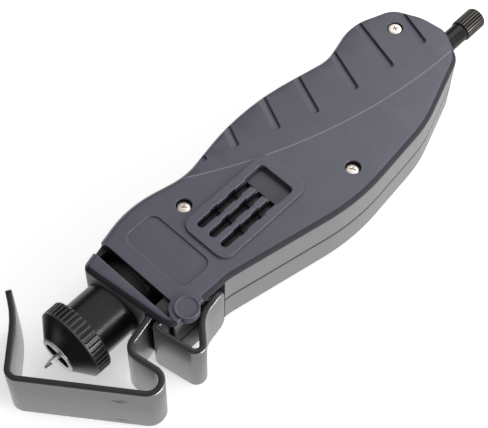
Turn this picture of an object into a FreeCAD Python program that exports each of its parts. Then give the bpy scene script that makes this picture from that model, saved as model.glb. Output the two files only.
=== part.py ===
import FreeCAD, Part
import math
import os

# Round cable stripper, lying on its underside.
# X runs from the blade (minus) to the rear end (plus), Y towards the grip edge, Z up.
# The origin is on the underside, below the axis of the rear screw.

V = FreeCAD.Vector

# Driving dimensions of the moulded body, in millimetres
plate_thickness = 1.4            # upper and lower plate over the lever's chamber
edge_radius = 1.7                # rounding of the flat face's outer edge
grip_edge_radius = 1.2           # rounding of the sloped face's outer edge
nose_x = -48.2                   # front end of the grip, behind the window
window_width = 3.4
window_end_y = -3.9
window_corner = 0.5
window_wall_drop = 3.0           # the wall across the window's grip end lies this much lower
bar_depth = 3.9                  # nose bar, front to back at its grip end
valley_depth = 0.9               # shallow end of the window, between the bar's tip and the boss
valley_end_y = -8.6
rear_x = 55.7
running_clearance = 0.05
hand_clearance = 0.3

# Outline of the body in plan: corners of a polygon, each with the radius that rounds it
outline_corners = [(-56.1, 15.0, 2.0), (-37.5, 19.6, 30), (-21.6, 15.8, 20), (3, 20.35, 70), (28.6, 15.0, 12),
                   (41.3, 18.5, 15), (52.6, 13.9, 6), (55.7, 6.5, 12), (56.3, -0.8, 6), (51.4, -8.7, 6),
                   (30.5, -16.2, 40), (2, -19, 60), (-34.5, -11.1, 14), (-52.2, -11.0, 1.9), (-53.4, -8.0, 2.4)]
side_wall_y = -11.0              # flat side wall beside the lever
side_wall_front_x = -51.8

# The grip area slopes down to the grip edge from a curved crease, the ridge
ridge_points = [(-26.0, 17.2), (4.8, 2.1), (57.5, -6.2)]
grip_slope = 3.5                 # degrees

# Finger grooves: where each meets the grip edge, and its inner end
groove_width = 2.0
groove_depth = 0.35
groove_tilt = 17.0               # degrees, each floor falls towards the rear
grooves = [((-16.2, 17.6), (-15.3, 15.0)), ((-4.6, 18.9), (-7.6, 12.6)), ((8.0, 19.0), (3.3, 9.0)),
           ((19.0, 17.8), (13.5, 5.4)), ((31.0, 16.2), (25.7, 3.2)), ((42.6, 17.8), (37.2, 1.4)),
           ((53.0, 12.2), (48.8, 0.5))]

# Raised panel with its three slots and the pocket behind them
panel_x = -32.7
panel_length = 28.7
panel_y = -8.0
panel_width = 14.4
panel_height = 0.6
panel_corner = 3.0
panel_slots = 3
slot_width = 2.2
slot_pitch = 3.8
slot_margin = 2.5                # panel edge to the slots' round ends
slot_length = 16.5
slot_depth = 2.8
notch_width = 2.4                # square notches where the cross channels pass
notch_at = (0.33, 0.72)
notch_extra = 0.5
pocket_length = 6.6
pocket_margin = 1.9
pocket_depth = 1.5
pocket_corner = 1.2

# Bare label recess
label_x = -44.3
label_length = 9.7
label_y = -5.8
label_width = 19.4
label_depth = 0.35
label_corner = 2.4

# Turret: the sleeve that carries the blade and turns in the nose
turret_y = 6.4
sleeve_diameter = 14.7
sleeve_bore = 6.0
sleeve_inner_length = 14.0       # behind the window
sleeve_front_x = -64.6
collar_step = 1.1                # the collar stands out this far from the sleeve
collar_gap = 0.1
neck_diameter = 11.0
neck_length = 0.5
detent_groove_depth = 0.9
detent_groove_width = 3.4
detent_ball_diameter = 2.4
detent_notch_depth = 0.3
detent_inset = 4.0
detent_spring_length = 2.4
detent_wire = 0.4
detent_turns = 3

# Depth knob in front of the sleeve
knob_diameter = 18.8
knob_rim_length = 4.4
knob_cone_length = 3.4
knob_nose_diameter = 9.9
knob_chamfer = 0.4
knob_flutes = 36
flute_depth = 0.45
flute_width = 0.85
flute_land = 0.9                 # plain band between the flutes' round ends and the cone

# Blade guide, feed ring and blade
guide_disc_diameter = 9.6
guide_disc_thickness = 1.0
guide_stem_length = 16.0
guide_slot_length = 7.4
guide_slot_width = 1.3
guide_slot_depth = 0.7
guide_chamfer = 0.2
blade_angle = -56.0              # degrees about the turret's axis, the nose disc's slot turned from upright
blade_width = 3.4
blade_thickness = 0.7
blade_projection = 4.0
blade_point = 1.6
blade_tail = 2.4
feed_ring_length = 1.6
feed_retract = 2.0
feed_advance = 0.5
washer_thickness = 0.5
knob_washer_thickness = 0.3

# Hook lever, one bent strip of steel, described as its bending plan
strip_thickness = 1.6
strip_width = 16.4
strip_corner = 1.8               # rounding of the strip's four corners
pin_x = -47.4
pin_y = -7.3
pin_diameter = 2.0
hook_heading = 173.0
trigger_heading = 161.0
hook_runs = [6.0, 6.3, 5.2, 28.4, 9.1, 3.2]          # straight lengths, from the pin to the tip
hook_radii = [3.0, 3.2, 3.3, 2.6, 26.0]              # centre line radius of the bend after each
hook_turns = [19.0, 87.9, -153.4, -84.4, 17.5]       # degrees, anticlockwise
trigger_runs = [5.4, 8.7, 4.3, 5.3]
trigger_radii = [1.3, 1.8, 8.0]
trigger_turns = [119.5, 127.6, -38.0]                # degrees, anticlockwise
lever_washer_thickness = 0.2

# Round boss over the lever's pivot
boss_x = -47.1
boss_y = -10.1
boss_diameter = 6.0
boss_height = 0.9
boss_rim = 0.45                  # raised rim round the boss's face
boss_rim_height = 0.2
boss_flange = 1.2                # low flange round the boss, where it stands on the body
boss_flange_height = 0.3
pin_cover = 0.6                  # plate left over each end of the pin
pocket_drop = 0.4                # spare depth of blind holes

# Return spring of the lever
spring_diameter = 4.6
spring_wire = 0.6
spring_turns = 4
spring_length = 7.2
spring_x = -39.9

# Rear screw, its nut and the spare blade on its stalk
rear_screw_diameter = 5.2
rear_screw_length = 33.0
rear_knurl_diameter = 5.9
rear_knurl_length = 7.0
rear_knurl_ribs = 24
rear_knurl_depth = 0.22
rear_screw_reach = 16.4          # how far the screw stands out of the body
rear_travel = 3.2
nut_width = 8.0
nut_thickness = 4.0
nut_inset = 5.0
oring_wire = 1.2
oring_inset = 2.2
stalk_diameter = 4.4
stalk_length = 20.0
stalk_pin_diameter = 2.4
stalk_pin_length = 3.0
spare_blade_length = 14.0

# Screws that hold the two half shells together
screw_places = [(-28.1, 9.8), (7.7, -11.7), (47.8, 9.0)]
screw_names = ["shell_screw_front", "shell_screw_middle", "shell_screw_rear"]
screw_head_diameter = 3.5
screw_head_height = 1.3
screw_shank_diameter = 2.0
screw_shank_length = 10.5
screw_recess_diameter = 4.0
screw_recess_depth = 2.2
cross_length = 2.0
cross_width = 0.45
cross_depth = 0.6

# Sizes that follow from the driving dimensions
body_thickness = strip_width + 2 * (lever_washer_thickness + running_clearance + plate_thickness)
mid_z = body_thickness / 2
slope_reach = max(abs(x) for x, y, radius in outline_corners) + edge_radius
window_front_x = nose_x - window_width
bar_front_x = window_front_x - bar_depth
sleeve_rear_x = nose_x + sleeve_inner_length
sleeve_hole = sleeve_diameter / 2 + running_clearance
collar_radius = sleeve_diameter / 2 + collar_step
window_grip_y = turret_y + collar_radius + hand_clearance
knob_front_x = sleeve_front_x - knob_rim_length - knob_cone_length
knob_rim_front_x = sleeve_front_x - knob_rim_length
guide_front_x = knob_front_x - guide_disc_thickness * 0.3
stem_radius = sleeve_bore / 2
bore_radius = stem_radius + running_clearance / 2
knob_washer_x = sleeve_front_x - neck_length - running_clearance - knob_washer_thickness
feed_ring_x = knob_washer_x - running_clearance - feed_retract - feed_ring_length
feed_front_x = feed_ring_x - feed_advance - running_clearance
chamber_radius = neck_diameter / 2
neck_radius = (chamber_radius + stem_radius) / 2
chamber_low = plate_thickness
chamber_high = body_thickness - plate_thickness
strip_low = mid_z - strip_width / 2
strip_high = mid_z + strip_width / 2
pin_radius = pin_diameter / 2
loop_radius = pin_radius + running_clearance + strip_thickness / 2
loop_outer_radius = loop_radius + strip_thickness / 2
rear_tip_x = rear_x + rear_screw_reach
rear_screw_front_x = rear_tip_x - rear_screw_length
stalk_front_x = rear_screw_front_x - stalk_length - running_clearance
magazine_radius = rear_screw_diameter / 2 + running_clearance
nut_x = rear_x - nut_inset - nut_thickness
oring_x = rear_x - oring_inset


def box(x0, x1, y0, y1, z0, z1):
    return Part.makeBox(x1 - x0, y1 - y0, z1 - z0, V(x0, y0, z0))


def rod_x(x0, x1, y, z, radius):
    return Part.makeCylinder(radius, x1 - x0, V(x0, y, z), V(1, 0, 0))


def rod_z(x, y, z0, z1, radius):
    return Part.makeCylinder(radius, z1 - z0, V(x, y, z0), V(0, 0, 1))


def turned_x(profile, y, z):
    """Body of revolution about an axis along X, from (x, radius) points."""
    points = [V(x, y, z + radius) for x, radius in profile]
    face = Part.Face(Part.makePolygon(points + points[:1]))
    return face.revolve(V(0, y, z), V(1, 0, 0), 360)


def plan_prism(points, z0, z1):
    """Upright prism over a polygon in plan."""
    polygon = Part.makePolygon([V(x, y, z0) for x, y in points + points[:1]])
    return Part.Face(polygon).extrude(V(0, 0, z1 - z0))


def rounded_outline(corners):
    """Closed line of straight runs and arcs, from corners with a radius each."""
    bends = []
    for i, (x, y, radius) in enumerate(corners):
        before = corners[i - 1]
        after = corners[(i + 1) % len(corners)]
        corner = V(x, y, 0)
        back = (V(before[0], before[1], 0) - corner).normalize()
        on = (V(after[0], after[1], 0) - corner).normalize()
        half_angle = back.getAngle(on) / 2
        inwards = (back + on).normalize()
        reach = radius / math.tan(half_angle)
        middle = corner + inwards * (radius / math.sin(half_angle) - radius)
        bends.append((corner + back * reach, middle, corner + on * reach))
    edges = []
    for i, (start, middle, end) in enumerate(bends):
        edges.append(Part.Arc(start, middle, end).toShape())
        edges.append(Part.makeLine(end, bends[(i + 1) % len(bends)][0]))
    return edges


def rounded_block(x0, x1, y0, y1, z0, z1, radius):
    block = box(x0, x1, y0, y1, z0, z1)
    upright = [e for e in block.Edges if abs(e.tangentAt(e.FirstParameter).z) > 0.9]
    return block.makeFillet(radius, upright)


def ridge_circle():
    """Centre and radius, in plan, of the circle on which the ridge lies."""
    circle = Part.Circle(*[V(x, y, 0) for x, y in ridge_points])
    return circle.Center, circle.Radius


def surface_z(x, y):
    """Height of the upper face at a place in plan."""
    centre, radius = ridge_circle()
    distance = (V(x, y, 0) - centre).Length
    return body_thickness + min(distance - radius, 0) * math.tan(math.radians(grip_slope))


def slope_cutter():
    """Space over one wide conical face that meets the flat face along the ridge."""
    centre, radius = ridge_circle()
    drop = slope_reach * math.tan(math.radians(grip_slope))
    base = V(centre.x, centre.y, body_thickness - drop)
    return Part.makeCone(radius - slope_reach, radius + slope_reach, 2 * drop, base)


def upper_blank():
    """Outer form of the upper half: a flat face and a sloped one, both with round edges."""
    face = Part.Face(Part.Wire(rounded_outline(outline_corners)))
    face.translate(V(0, 0, mid_z))
    flat = face.extrude(V(0, 0, body_thickness - mid_z))
    flat = flat.makeFillet(edge_radius, rim_edges(flat))
    above = 0.95 * slope_reach * math.tan(math.radians(grip_slope))
    sloped = face.extrude(V(0, 0, body_thickness - mid_z + above)).cut(slope_cutter())
    sloped = sloped.makeFillet(grip_edge_radius, rim_edges(sloped))
    return flat.common(sloped)


def rim_edges(blank):
    """Edges of a blank's upper face."""
    edges = []
    for edge in blank.Edges:
        middle = (edge.FirstParameter + edge.LastParameter) / 2
        if edge.valueAt(middle).z > mid_z + 2.0 and abs(edge.tangentAt(middle).z) < 0.7:
            edges.append(edge)
    return edges


def upright_edge(edge):
    return abs(edge.tangentAt((edge.FirstParameter + edge.LastParameter) / 2).z) > 0.7


def mirrored(shape):
    return shape.mirror(V(0, 0, mid_z), V(0, 0, 1))


def lever_chamber():
    """Chamber of the lever: the way in at the nose, the room about the pin and the trigger's slot."""
    wall_inner = pin_y - loop_outer_radius - hand_clearance
    room = rod_z(pin_x, pin_y, chamber_low, chamber_high, loop_outer_radius + hand_clearance)
    outside_x = bar_front_x - strip_width
    outside_y = side_wall_y - strip_width
    mouth_y = pin_y + loop_outer_radius + strip_thickness - hand_clearance
    mouth_points = [(outside_x, mouth_y), (window_front_x, mouth_y),
                    (pin_x, pin_y + loop_outer_radius + hand_clearance), (pin_x, wall_inner),
                    (side_wall_front_x, wall_inner), (side_wall_front_x, outside_y), (outside_x, outside_y)]
    mouth = plan_prism(mouth_points, chamber_low, chamber_high)
    slot_front_x = pin_x + loop_outer_radius + 2 * hand_clearance
    slot = box(slot_front_x, slot_rear_x(), outside_y, pin_y + hand_clearance, chamber_low, chamber_high)
    hole_end = V(spring_x, spring_end_y() + running_clearance, mid_z)
    hole_radius = spring_diameter / 2 + hand_clearance / 2
    spring_hole = Part.makeCylinder(hole_radius, spring_length, hole_end, V(0, -1, 0))
    return room.fuse([mouth, slot, spring_hole])


def slot_rear_x():
    """Rear end of the trigger's slot: the strip's end swings past it with a hand clearance."""
    last = trigger_segments()[-1]
    half = heading_vector(last["heading"] + 90) * (strip_thickness / 2)
    pin = V(pin_x, pin_y, 0)
    return pin_x + max((last["end"] + half - pin).Length, (last["end"] - half - pin).Length) + hand_clearance


def spring_end_y():
    """Y of the spring's seat in the body, one spring length behind the trigger's end."""
    return trigger_face_y() + spring_length


def trigger_face_y():
    last = trigger_segments()[-1]
    along = (spring_x - last["start"].x) / (last["end"].x - last["start"].x)
    middle = last["start"].y + along * (last["end"].y - last["start"].y)
    return middle + strip_thickness / 2 / math.cos(math.radians(last["heading"])) + hand_clearance


def turret_space():
    """Bore for the sleeve, and the open window across the nose."""
    bore = rod_x(bar_front_x - bar_depth, sleeve_rear_x + running_clearance, turret_y, mid_z, sleeve_hole)
    window = rounded_block(window_front_x, nose_x, window_end_y, window_grip_y,
                           -1, body_thickness + 1, window_corner)
    drop = box(window_front_x, nose_x, turret_y, window_grip_y + sleeve_diameter,
               body_thickness - window_wall_drop, body_thickness + 1)
    return bore.fuse([window, drop, mirrored(drop)])


def valley():
    """Shallow end of the window, from its deep end to the tip of the bar, round the boss's flange."""
    floor = body_thickness - valley_depth
    space = box(window_front_x, nose_x, valley_end_y, window_end_y + window_corner, floor, body_thickness + 1)
    return space.cut(rod_z(boss_x, boss_y, floor - 1, body_thickness + 2, boss_diameter / 2 + boss_flange))


def magazine_space():
    """Chamber of the rear screw, its nut and the spare blade."""
    bore = rod_x(stalk_front_x - rear_travel - 1.0, rear_x + 4, 0, mid_z, magazine_radius)
    nut = hex_prism(nut_x, nut_thickness, nut_width + 2 * running_clearance)
    ring = rod_x(oring_x, oring_x + oring_wire, 0, mid_z, rear_screw_diameter / 2 + oring_wire)
    return bore.fuse([nut, ring])


def hex_prism(x, length, width):
    corner = width / 2 / math.cos(math.pi / 6)
    points = [V(x, corner * math.cos(a), mid_z + corner * math.sin(a))
              for a in [math.radians(60 * i) for i in range(6)]]
    return Part.Face(Part.makePolygon(points + points[:1])).extrude(V(length, 0, 0))


def finger_grooves():
    """Shallow wedge-shaped channels that run in from the grip edge."""
    cutters = []
    half = groove_width / 2
    for (x0, y0), (x1, y1) in grooves:
        inner = V(x1, y1, surface_z(x1, y1) - groove_depth)
        outer = V(x0, y0, surface_z(x0, y0) - groove_depth)
        along = outer - inner
        reach = along.Length + 3.0
        across = V(-along.y, along.x, 0)
        turn = FreeCAD.Rotation(along, across, V(0, 0, 1), "XYZ")
        tilt = FreeCAD.Rotation(V(1, 0, 0), groove_tilt)
        edges = [Part.makeLine(V(half, -half, 0), V(reach, -half, 0)),
                 Part.makeLine(V(reach, -half, 0), V(reach, half, 0)),
                 Part.makeLine(V(reach, half, 0), V(half, half, 0)),
                 Part.Arc(V(half, half, 0), V(0, 0, 0), V(half, -half, 0)).toShape()]
        channel = Part.Face(Part.Wire(edges)).extrude(V(0, 0, 3.0))
        channel.Placement = FreeCAD.Placement(inner, turn.multiply(tilt))
        cutters.append(channel)
    return cutters


def label_space():
    return rounded_block(label_x, label_x + label_length, label_y, label_y + label_width,
                         body_thickness - label_depth, body_thickness + 1, label_corner)


def panel():
    """Raised panel with round corners."""
    return rounded_block(panel_x, panel_x + panel_length, panel_y, panel_y + panel_width,
                         body_thickness - 1.0, body_thickness + panel_height, panel_corner)


def panel_cuts():
    """The three slots, the cross channels' notches and the pocket at their open ends."""
    top = body_thickness + panel_height
    centre_y = panel_y + panel_width / 2
    cuts = []
    for i in range(panel_slots):
        y = centre_y + (i - (panel_slots - 1) / 2) * slot_pitch
        x0 = panel_x + slot_margin + slot_width / 2
        x1 = panel_x + slot_margin + slot_length
        slot = box(x0, x1 + 1.0, y - slot_width / 2, y + slot_width / 2, top - slot_depth, top + 1)
        cuts.append(slot.fuse(rod_z(x0, y, top - slot_depth, top + 1, slot_width / 2)))
        for share in notch_at:
            x = x0 + share * (x1 - x0)
            half = slot_width / 2 + notch_extra / 2
            cuts.append(box(x - notch_width / 2, x + notch_width / 2, y - half, y + half,
                            top - slot_depth - notch_extra, top + 1))
    x0 = panel_x + slot_margin + slot_length
    y0 = panel_y + pocket_margin
    y1 = panel_y + panel_width - pocket_margin
    cuts.append(rounded_block(x0, x0 + pocket_length, y0, y1, top - pocket_depth, top + 1, pocket_corner))
    return cuts


def screw_cuts():
    """Recess, seat and pilot hole of each shell screw."""
    cuts = []
    for x, y in screw_places:
        seat = body_thickness - screw_recess_depth
        cuts.append(rod_z(x, y, seat, body_thickness + 1, screw_recess_diameter / 2))
        cuts.append(rod_z(x, y, seat - screw_shank_length - pocket_drop, seat, screw_shank_diameter / 2))
    return cuts


def boss():
    """Round boss over the pivot with its raised rim, on a flange that ends with the body's outline."""
    radius = boss_diameter / 2
    top = body_thickness + boss_height
    disc = rod_z(boss_x, boss_y, chamber_high, top, radius)
    face = rod_z(boss_x, boss_y, top - boss_rim_height, top + 1, radius - boss_rim)
    outline = Part.Face(Part.Wire(rounded_outline(outline_corners))).extrude(V(0, 0, body_thickness + 1))
    flange = rod_z(boss_x, boss_y, chamber_high, body_thickness + boss_flange_height, radius + boss_flange)
    return disc.cut(face), flange.common(outline).cut(face)


def pin_hole():
    depth = plate_thickness - pin_cover
    return rod_z(pin_x, pin_y, chamber_low - depth, chamber_high + depth, pin_radius)


def detent_x():
    return sleeve_rear_x - detent_inset


def detent_ball_y():
    groove_radius = sleeve_diameter / 2 - detent_groove_depth
    return turret_y + groove_radius + running_clearance + detent_ball_diameter / 2


def detent_pocket():
    """Pocket beside the sleeve, half in each shell, for the detent ball and its spring."""
    start = turret_y + sleeve_diameter / 2 - detent_groove_depth
    end = detent_ball_y() + detent_ball_diameter / 2 + running_clearance + detent_spring_length
    radius = detent_ball_diameter / 2 + running_clearance
    return Part.makeCylinder(radius, end - start, V(detent_x(), start, mid_z), V(0, 1, 0))


def upper_shell():
    shell = upper_blank()
    shell = shell.cut(finger_grooves())
    shell = shell.cut(valley()).fuse([panel(), *boss()])
    cuts = [lever_chamber(), turret_space(), magazine_space(), detent_pocket(), label_space(), pin_hole()]
    return shell.cut(cuts + panel_cuts() + screw_cuts()).removeSplitter()


def lower_shell():
    shell = mirrored(upper_blank())
    shell = shell.cut([mirrored(groove) for groove in finger_grooves()])
    cuts = [lever_chamber(), turret_space(), magazine_space(), pin_hole(), detent_pocket()]
    return shell.cut(cuts + screw_cuts()).removeSplitter()


def shell_screw(x, y):
    """Self-tapping screw with a domed cross-recess head."""
    seat = body_thickness - screw_recess_depth
    head = screw_head(x, y, seat)
    shank = rod_z(x, y, seat - screw_shank_length, seat, screw_shank_diameter / 2)
    top = seat + screw_head_height
    long_cut = box(x - cross_length / 2, x + cross_length / 2, y - cross_width / 2, y + cross_width / 2,
                   top - cross_depth, top + 1)
    wide_cut = box(x - cross_width / 2, x + cross_width / 2, y - cross_length / 2, y + cross_length / 2,
                   top - cross_depth, top + 1)
    return head.fuse(shank).cut([long_cut, wide_cut]).removeSplitter()


def screw_head(x, y, seat):
    """Low domed head, as a stack of a straight rim and two cones."""
    radius = screw_head_diameter / 2
    high = screw_head_height
    rim = rod_z(x, y, seat, seat + high * 0.5, radius)
    lower = Part.makeCone(radius, radius * 0.85, high * 0.3, V(x, y, seat + high * 0.5))
    upper = Part.makeCone(radius * 0.85, radius * 0.5, high * 0.2, V(x, y, seat + high * 0.8))
    return rim.fuse([lower, upper])


def heading_vector(degrees):
    return V(math.cos(math.radians(degrees)), math.sin(math.radians(degrees)), 0)


def bend_path(start, heading, runs, turns, radii):
    """Straight runs and bends of a strip's centre line, each straight followed by its bend."""
    segments = []
    here = start
    for length, turn, radius in zip(runs, turns, radii):
        there = here + heading_vector(heading) * length
        segments.append({"start": here, "end": there, "heading": heading})
        side = 1 if turn > 0 else -1
        centre = there + heading_vector(heading + 90 * side) * radius
        here = centre - heading_vector(heading + turn + 90 * side) * radius
        segments.append({"start": there, "end": here, "centre": centre, "radius": radius,
                         "heading": heading, "turn": turn})
        heading += turn
    end = here + heading_vector(heading) * runs[-1]
    segments.append({"start": here, "end": end, "heading": heading})
    return segments


def trigger_segments():
    """Centre line of the trigger side, from the loop about the pin to its end in the slot."""
    start = V(pin_x, pin_y, 0) + heading_vector(trigger_heading + 90) * loop_radius
    return bend_path(start, trigger_heading, trigger_runs, trigger_turns, trigger_radii)


def hook_segments():
    """Centre line of the hook side, from the loop about the pin to the hook's tip."""
    start = V(pin_x, pin_y, 0) + heading_vector(hook_heading - 90) * loop_radius
    return bend_path(start, hook_heading, hook_runs, hook_turns, hook_radii)


def strip_face(segment):
    """Plan of one straight or bent stretch of the strip, at its full thickness."""
    half = strip_thickness / 2
    if "centre" not in segment:
        side = heading_vector(segment["heading"] + 90) * half
        a, b = segment["start"], segment["end"]
        return Part.Face(Part.makePolygon([a + side, b + side, b - side, a - side, a + side]))
    turn = segment["turn"]
    first = segment["heading"] - 90 if turn > 0 else segment["heading"] + 90
    low, high = sorted((first, first + turn))
    return ring_sector(segment["centre"], segment["radius"] - half, segment["radius"] + half, low, high)


def ring_sector(centre, inner, outer, low, high):
    middle = (low + high) / 2
    points = [centre + heading_vector(a) * r for r, a in
              ((inner, low), (inner, middle), (inner, high), (outer, high), (outer, middle), (outer, low))]
    edges = [Part.Arc(points[0], points[1], points[2]).toShape(), Part.makeLine(points[2], points[3]),
             Part.Arc(points[3], points[4], points[5]).toShape(), Part.makeLine(points[5], points[0])]
    return Part.Face(Part.Wire(edges))


def hook_lever():
    """The bent strip: hook, loop about the pin and finger trigger in one piece."""
    loop = ring_sector(V(pin_x, pin_y, 0), pin_radius + running_clearance, loop_outer_radius,
                       trigger_heading + 90 - 360, hook_heading - 90)
    faces = [loop] + [strip_face(s) for s in hook_segments() + trigger_segments()]
    solids = [f.extrude(V(0, 0, strip_width)) for f in faces]
    lever = solids[0].fuse(solids[1:]).removeSplitter()
    lever.translate(V(0, 0, strip_low))
    tips = [e for e in lever.Edges if strip_end_edge(e)]
    return lever.makeFillet(strip_corner, tips)


def strip_end_edge(edge):
    """True for the short edges across the thickness at the two ends of the strip."""
    ends = [hook_segments()[-1]["end"], trigger_segments()[-1]["end"]]
    middle = edge.valueAt((edge.FirstParameter + edge.LastParameter) / 2)
    return any((V(middle.x, middle.y, 0) - end).Length < 0.01 for end in ends) and not upright_edge(edge)


def lever_pin():
    return pin_hole()


def lever_washer(z):
    disc = rod_z(pin_x, pin_y, z, z + lever_washer_thickness, loop_outer_radius)
    return disc.cut(rod_z(pin_x, pin_y, z - 1, z + 1, pin_radius + running_clearance))


def coil(radius, wire, turns, length, place, axis):
    """Coil spring: one wire along a helix, its section drawn with six sides."""
    helix = Part.makeHelix((length - wire) / turns, length - wire, radius - wire / 2)
    corners = [V(radius - wire / 2 + wire / 2 * math.cos(a), 0, wire / 2 * math.sin(a))
               for a in [math.radians(60 * i) for i in range(6)]]
    profile = Part.makePolygon(corners + corners[:1])
    spring = Part.Wire(helix.Edges).makePipeShell([profile], True, True)
    spring.translate(V(0, 0, wire / 2))
    spring.Placement = FreeCAD.Placement(place, FreeCAD.Rotation(V(0, 0, 1), axis)).multiply(spring.Placement)
    return spring


def return_spring():
    place = V(spring_x, spring_end_y(), mid_z)
    length = spring_length - hand_clearance / 2
    return coil(spring_diameter / 2, spring_wire, spring_turns, length, place, V(0, -1, 0))


def turret_sleeve():
    """Black sleeve with the collar that runs in the window."""
    outer = sleeve_diameter / 2
    collar = collar_radius
    collar_front_x = window_front_x + collar_gap
    collar_rear_x = nose_x - collar_gap - washer_thickness
    groove = outer - detent_groove_depth
    groove_front_x = detent_x() - detent_groove_width / 2
    groove_rear_x = detent_x() + detent_groove_width / 2
    profile = [(sleeve_front_x - neck_length, bore_radius), (sleeve_front_x - neck_length, neck_radius),
               (sleeve_front_x, neck_radius), (sleeve_front_x, outer), (collar_front_x, outer),
               (collar_front_x, collar), (collar_rear_x, collar), (collar_rear_x, outer),
               (groove_front_x, outer), (groove_front_x, groove), (groove_rear_x, groove),
               (groove_rear_x, outer), (sleeve_rear_x, outer), (sleeve_rear_x, bore_radius)]
    sleeve = turned_x(profile, turret_y, mid_z)
    notch_floor = V(detent_x(), turret_y + groove - detent_notch_depth, mid_z)
    notch = Part.makeCylinder(detent_ball_diameter / 2, outer, notch_floor, V(0, 1, 0))
    side_notch = notch.copy()
    side_notch.rotate(V(0, turret_y, mid_z), V(1, 0, 0), -90)
    return sleeve.cut([notch, side_notch])


def turret_washer():
    """Friction washer behind the sleeve's collar."""
    x1 = nose_x - collar_gap / 2
    radius = sleeve_diameter / 2 + collar_step * 0.8
    ring = rod_x(x1 - washer_thickness + collar_gap / 2, x1, turret_y, mid_z, radius)
    return ring.cut(rod_x(x1 - 2, x1 + 1, turret_y, mid_z, sleeve_hole))


def depth_knob():
    """Fluted rim, cone and the chamber in which the feed ring travels."""
    rear_x_here = sleeve_front_x - running_clearance
    rim = knob_diameter / 2
    nose = knob_nose_diameter / 2
    stem = stem_radius + running_clearance
    recess = guide_disc_diameter / 2 + running_clearance
    seat_x = knob_front_x + guide_disc_thickness * 0.7 + running_clearance
    profile = [(rear_x_here, chamber_radius), (rear_x_here, rim - knob_chamfer),
               (rear_x_here - knob_chamfer, rim), (knob_rim_front_x + knob_chamfer, rim),
               (knob_rim_front_x, rim - knob_chamfer), (knob_front_x, nose),
               (knob_front_x, recess), (seat_x, recess), (seat_x, stem), (feed_front_x, stem),
               (feed_front_x, chamber_radius)]
    knob = turned_x(profile, turret_y, mid_z)
    return knob.cut(knob_flute_cuts())


def knob_flute_cuts():
    """Straight upright-sided flutes round the rim, each with a round front end."""
    half = flute_width / 2
    front = knob_rim_front_x + flute_land + half
    floor = mid_z + knob_diameter / 2 - flute_depth
    run = box(front, sleeve_front_x + 1, turret_y - half, turret_y + half, floor, floor + 1)
    flute = run.fuse(rod_z(front, turret_y, floor, floor + 1, half)).removeSplitter()
    cuts = []
    for i in range(knob_flutes):
        turned = flute.copy()
        turned.rotate(V(0, turret_y, mid_z), V(1, 0, 0), 360 * i / knob_flutes)
        cuts.append(turned)
    return cuts


def knob_washer():
    """Thin washer between the sleeve's shoulder and the feed ring's chamber."""
    x0 = knob_washer_x
    x1 = x0 + knob_washer_thickness
    ring = rod_x(x0, x1, turret_y, mid_z, chamber_radius - running_clearance)
    return ring.cut(rod_x(x0 - 1, x1 + 1, turret_y, mid_z, stem_radius + running_clearance))


def set_blade_angle(shape):
    shape.rotate(V(0, turret_y, mid_z), V(1, 0, 0), blade_angle)
    return shape


def blade_slit():
    """Flat way through the guide for the blade."""
    x0 = guide_front_x - 1
    x1 = guide_front_x + guide_stem_length - 2
    half = blade_width / 2 + running_clearance
    return box(x0, x1, turret_y - half, turret_y + half,
               mid_z - blade_thickness / 2 - running_clearance, mid_z + blade_thickness / 2 + running_clearance)


def blade_guide():
    """Bright nose disc on its stem, with the screwdriver slot and the way for the blade."""
    disc_rear_x = knob_front_x + guide_disc_thickness * 0.7
    rim = guide_disc_diameter / 2
    disc = turned_x([(guide_front_x, 0), (guide_front_x, rim - guide_chamfer),
                     (guide_front_x + guide_chamfer, rim), (disc_rear_x, rim), (disc_rear_x, 0)],
                    turret_y, mid_z)
    stem = rod_x(disc_rear_x, guide_front_x + guide_stem_length, turret_y, mid_z, stem_radius)
    half = guide_slot_width / 2
    reach = guide_slot_length / 2 - half
    floor = guide_front_x + guide_slot_depth
    slot = box(guide_front_x - 1, floor, turret_y - half, turret_y + half, mid_z - reach, mid_z + reach)
    ends = [rod_x(guide_front_x - 1, floor, turret_y, mid_z + side * reach, half) for side in (-1, 1)]
    slot = slot.fuse(ends)
    gap = blade_thickness / 2 + running_clearance
    across = box(guide_front_x - 1, floor, turret_y - rim - 1, turret_y + rim + 1, mid_z - gap, mid_z + gap)
    wings = box(feed_front_x, sleeve_front_x - neck_length, turret_y - stem_radius - 1,
                turret_y + stem_radius + 1, mid_z - blade_thickness / 2 - running_clearance,
                mid_z + blade_thickness / 2 + running_clearance)
    return set_blade_angle(disc.fuse(stem).cut([slot, across, blade_slit(), wings]))


def feed_ring():
    """Ring that the knob's thread drives along the stem, and that carries the blade."""
    x0 = feed_ring_x
    ring = rod_x(x0, x0 + feed_ring_length, turret_y, mid_z, chamber_radius - running_clearance)
    bore = rod_x(x0 - 1, x0 + feed_ring_length + 1, turret_y, mid_z, stem_radius + running_clearance)
    half = blade_thickness / 2 + running_clearance
    wing = blade_wing()
    seat = box(x0 + feed_ring_length * 0.3, x0 + feed_ring_length + 1, turret_y - wing, turret_y + wing,
               mid_z - half, mid_z + half)
    return set_blade_angle(ring.cut([bore, seat]))


def blade_wing():
    return (chamber_radius + stem_radius) / 2


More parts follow.
